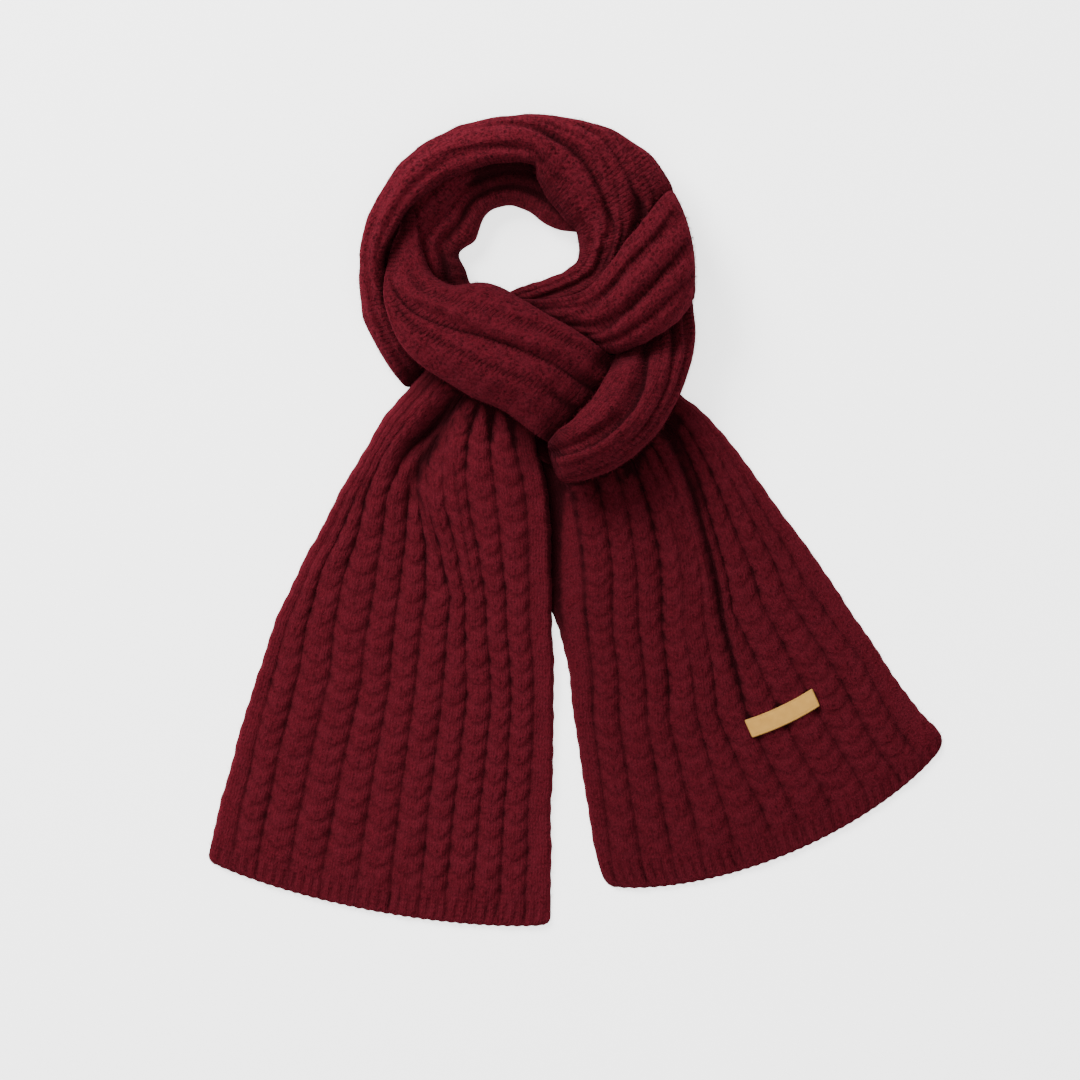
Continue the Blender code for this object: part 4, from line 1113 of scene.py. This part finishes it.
# ---------------------------------------------------------------------- inside the knot
# The layers of knit hidden between the bands, pressed flat. Their yarn takes a fifth of the
# share, painted shade, so that they show only as shade in the gaps.
CORE_RAILS = (
    (-88, 116, -84, 109, 0),
    (-66, 118, -68, 102, 0),
    (-40, 120, -42, 92, 0),
    (-30, 121, -31, 50, 0),
    (-12, 123, -10, 40, 0),
    (12, 126, 12, 70, 0),
    (32, 127, 31, 80, 0),
    (54, 118, 52, 92, 0),
)
CORE_FURROWS = ((0, .3, .6), (7, .3, .6))
CORE_FORMS = ((0.6, 2.0, 0, 7), (0.6, 2.0, 0, 7))
core_skin = wrapped_band("knot_core", CORE_RAILS, CORE_FURROWS, CORE_FORMS, (),
                         step=2.4, columns=24, seed=26)
knot_layers = wrapped_piece("knot_core_knit", core_skin, yarn("knot_layers_yarn", 0.2))
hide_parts("knot_core")

# ---------------------------------------------------------------------------- the label
# A bare strip of tan leather board, laid across the ribs of the right tail and sewn down
# all round with a thread of its own colour.
LABEL_FIRST = np.array([121.7, -144.0])     # its first corner, in plan
LABEL_LENGTH = np.array([48.9, 23.0])       # from there along it, and down across it
LABEL_DEPTH = np.array([5.7, -12.7])
LABEL_THICK = 1.2
LABEL_SAG = 1.8                             # it bends this far towards the hem at its middle
LABEL_CORNER = 0.9
STITCH_IN = 1.5                             # the stitch line runs this far inside the rim
STITCH = 2.4                                # from one stitch hole to the next


def label_leather():
    """Undyed leather board: fine grain, a soft mottle and darker, rubbed edges."""
    material, board, start = finish("label_leather", {
        "Roughness": 0.8, "Specular IOR Level": 0.12})
    place = start.place()
    grain = start.noise(place, 1300.0, 4.0, 0.7)
    mottle = start.noise(place, 170.0, 2.0)
    tan = start.mix(mottle, (0.36, 0.182, 0.037, 1), (0.52, 0.285, 0.066, 1))
    tan = start.mix(grain * 0.5, tan, (0.42, 0.221, 0.047, 1))
    tan = start.mix(start.hollow() * 0.7, tan, (0.22, 0.105, 0.035, 1))
    tan.feed(board.inputs["Base Color"])
    grain.bump(0.35, 0.0004).feed(board.inputs["Normal"])
    return material


def label_strip():
    """The label as a closed slab over the height of its solid.

    Its top is rounded down at the rim, with the thread's line pressed in and a row of
    stitch holes along it, and its ends are drawn in at the corners.
    """
    u, v = np.meshgrid(np.linspace(0, 1, 97), np.linspace(0, 1, 27), indexing="ij")
    long, deep = np.linalg.norm(LABEL_LENGTH), np.linalg.norm(LABEL_DEPTH)
    near_end = np.minimum(u, 1 - u) * long
    near_side = np.minimum(v, 1 - v) * deep
    near_rim = np.minimum(near_end, near_side)

    def in_label(along, down):
        """Plan points at shares of the label's length and depth, bent by its sag."""
        down = down + LABEL_SAG * 4 * u * (1 - u) / deep
        return LABEL_FIRST + LABEL_LENGTH * along[..., None] + LABEL_DEPTH * down[..., None]

    bed = blurred(skin_height("label", in_label(0.03 + 0.94 * u, 0.06 + 0.88 * v)), 5, 0)
    pull = LABEL_CORNER * np.clip(1 - near_end / LABEL_CORNER, 0, 1) ** 2
    plan = in_label(u, 0.5 + (v - 0.5) * (1 - 2 * pull / deep))
    sewn = smooth_step(near_end, 1.2, 1.8)
    thread = bell(near_side - STITCH_IN, 0.45) * sewn
    holes = bell(((u * long / STITCH + 0.5) % 1.0 - 0.5) * STITCH, 0.35)
    holes = holes * bell(near_side - STITCH_IN, 0.3) * sewn
    top = bed - 0.6 * LABEL_THICK * (1 - rounded(near_rim, 0.8)) - 0.16 * thread - 0.25 * holes
    points = [np.concatenate([plan, high[..., None]], axis=-1).reshape(-1, 3)
              for high in (top, bed - LABEL_THICK)]
    rim = grid_rim(*u.shape)
    after = np.roll(rim, -1)
    sheet = grid_faces(*u.shape)
    side = np.stack([rim + u.size, after + u.size, after, rim], axis=1)
    faces = np.vstack([sheet[:, ::-1], sheet + u.size, side])
    uv = np.stack([u * long, v * deep], axis=-1).reshape(-1, 2)
    return piece("label_strip", np.vstack(points), faces.tolist(), np.tile(uv, (2, 1)),
                 np.tile(np.exp(-near_rim / 0.5).ravel(), 2), label_leather())


label = label_strip()
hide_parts("label")

# ----------------------------------------------------------------------------- the fuzz
# The brushed halo of the yarn: loose fibres, 2 to 5 mm long, that stand and lie on every
# stretch and soften its outline. Each is one thin sliver.
FIBRE_WIDTH = 0.13


def fibres(skin, count, seed):
    """Slivers on a skin, each bent once: corners in mm, and the painted shade at each one's root.

    From its root, a sliver's tip lies at length * (lie + 0.6 rise * normal), where lie is a
    random direction along the skin and rise a random steepness.
    """
    rng = np.random.default_rng(seed)
    down = np.gradient(skin.points, axis=0)
    normal = np.cross(down, np.gradient(skin.points, axis=1)) * (-1 if skin.turned else 1)
    size = np.linalg.norm(normal, axis=-1)
    chance = (size * (normal[..., 2] > -0.2 * size)).ravel()
    pick = rng.choice(chance.size, count, p=chance / chance.sum())
    normal = (normal / np.maximum(size[..., None], 1e-9)).reshape(-1, 3)[pick]
    tangent = down.reshape(-1, 3)[pick]
    tangent = tangent / np.maximum(np.linalg.norm(tangent, axis=1, keepdims=True), 1e-9)
    turn = rng.uniform(0, 2 * np.pi, count)[:, None]
    lie = tangent * np.cos(turn) + np.cross(normal, tangent) * np.sin(turn)
    rise = rng.uniform(0.12, 0.75, count)[:, None]
    length = rng.uniform(2.2, 5.2, count)[:, None]
    root = skin.points.reshape(-1, 3)[pick] + rng.normal(0, 0.35, (count, 3)) * [1, 1, 0]
    half = np.cross(normal, lie) * FIBRE_WIDTH / 2
    bend = root + length * 0.55 * (lie * 0.8 + normal * rise)
    tip = root + length * (lie + normal * rise * 0.6)
    every = np.stack([root - half, root + half, bend + half * 0.8, bend - half * 0.8, tip], axis=1)
    every[..., 2] = np.maximum(every[..., 2], 0.15)
    return every, skin.hollow.ravel()[pick]


def fibre_wool(name):
    """A single fibre: the yarn's colour, a little lighter, darkened by the painted shade at its
    root, and no relief.
    """
    material, wool, start = finish(name, {"Roughness": 0.8, "Specular IOR Level": 0.0})
    r, g, b = MAROON
    tone = start.noise(start.place(), 600.0, 1.0)
    shade = start.mix(tone, (r * 0.8, g * 0.8, b * 0.8, 1), (r * 1.7, g * 2.2, b * 2.2, 1))
    # painted shade, to near black in the deepest places
    shade = start.mix(start.hollow() * 0.95, shade, (r * 0.10, g * 0.3, b * 0.22, 1))
    shade.feed(wool.inputs["Base Color"])
    return material


def fuzz_piece(name, skins):
    """The fibres of a group of skins as one mesh, of a quad and a triangle each."""
    every, hollow = (np.concatenate(group) for group in zip(*[fibres(*row) for row in skins]))
    base = np.arange(len(every))[:, None] * 5
    faces = (base + [0, 1, 2, 3]).tolist() + (base + [3, 2, 4]).tolist()
    stitch = every[:, :1, :2].repeat(5, axis=1).reshape(-1, 2) / WALE
    item = piece(name, every.reshape(-1, 3), faces, stitch, hollow.repeat(5),
                 fibre_wool(name + "_wool"))


# columns: skin, how many fibres, seed of their draw
TAIL_FIBRES = ((left_skin, 21000, 31), (right_skin, 19000, 32))
RING_FIBRES = ((outer_skin, 10000, 33), (inner_skin, 3500, 34), (front_skin, 7500, 35),
               (right_band_skin, 5000, 36), (lower_skin, 5000, 37))
fuzz_piece("tail_fuzz", TAIL_FIBRES)
fuzz_piece("ring_fuzz", RING_FIBRES)

# ----------------------------------------------------------------- floor, light, camera
# A plain pale sheet of paper under soft studio light, seen from straight above through a
# long lens. The paper gives off a little light of its own, so that it stays pale.
VIEW_CENTRE = (-0.0253, -0.0139)        # metres
VIEW_WIDTH = 0.7776                     # what the picture takes in, on the table
VIEW_HEIGHT = 10.0
FLOOR_REACH = 30.0
FLOOR_HEIGHT = -0.0004


def stage_floor():
    """A wide pale sheet, just under the scarf."""
    mesh = bpy.data.meshes.new("floor")
    turns = ((-1, -1), (1, -1), (1, 1), (-1, 1))
    corners = [(FLOOR_REACH * x, FLOOR_REACH * y, FLOOR_HEIGHT) for x, y in turns]
    mesh.from_pydata(corners, [], [(0, 1, 2, 3)])
    mesh.materials.append(finish("floor_paper", {
        "Base Color": (0.93, 0.93, 0.93, 1), "Roughness": 0.9, "Specular IOR Level": 0.1,
        "Emission Color": (1, 1, 1, 1), "Emission Strength": 2.0})[0])
    item = bpy.data.objects.new("floor", mesh)
    bpy.context.scene.collection.objects.link(item)


def soft_light(name, place, size, watts):
    """A square studio light that faces the scarf's middle, at the origin."""
    data = bpy.data.lights.new(name, "AREA")
    data.shape = "SQUARE"
    data.size = size
    data.energy = watts
    item = bpy.data.objects.new(name, data)
    bpy.context.scene.collection.objects.link(item)
    item.location = place
    item.rotation_mode = "QUATERNION"
    item.rotation_quaternion = Vector(place).to_track_quat("Z", "Y")


stage_floor()
soft_light("key", (-1.5, 1.9, 2.0), size=1.4, watts=205.0)
soft_light("overhead", (0.0, -0.4, 3.2), size=2.5, watts=60.0)
world = bpy.data.worlds.new("studio")
world.use_nodes = True
sky = world.node_tree.nodes["Background"].inputs
sky["Color"].default_value = (1, 1, 1, 1)
sky["Strength"].default_value = 0.52
bpy.context.scene.world = world

lens = bpy.data.cameras.new("camera")
lens.sensor_width = 36.0
lens.lens = lens.sensor_width * VIEW_HEIGHT / VIEW_WIDTH
camera = bpy.data.objects.new("camera", lens)
bpy.context.scene.collection.objects.link(camera)
camera.location = (*VIEW_CENTRE, VIEW_HEIGHT)
bpy.context.scene.camera = camera
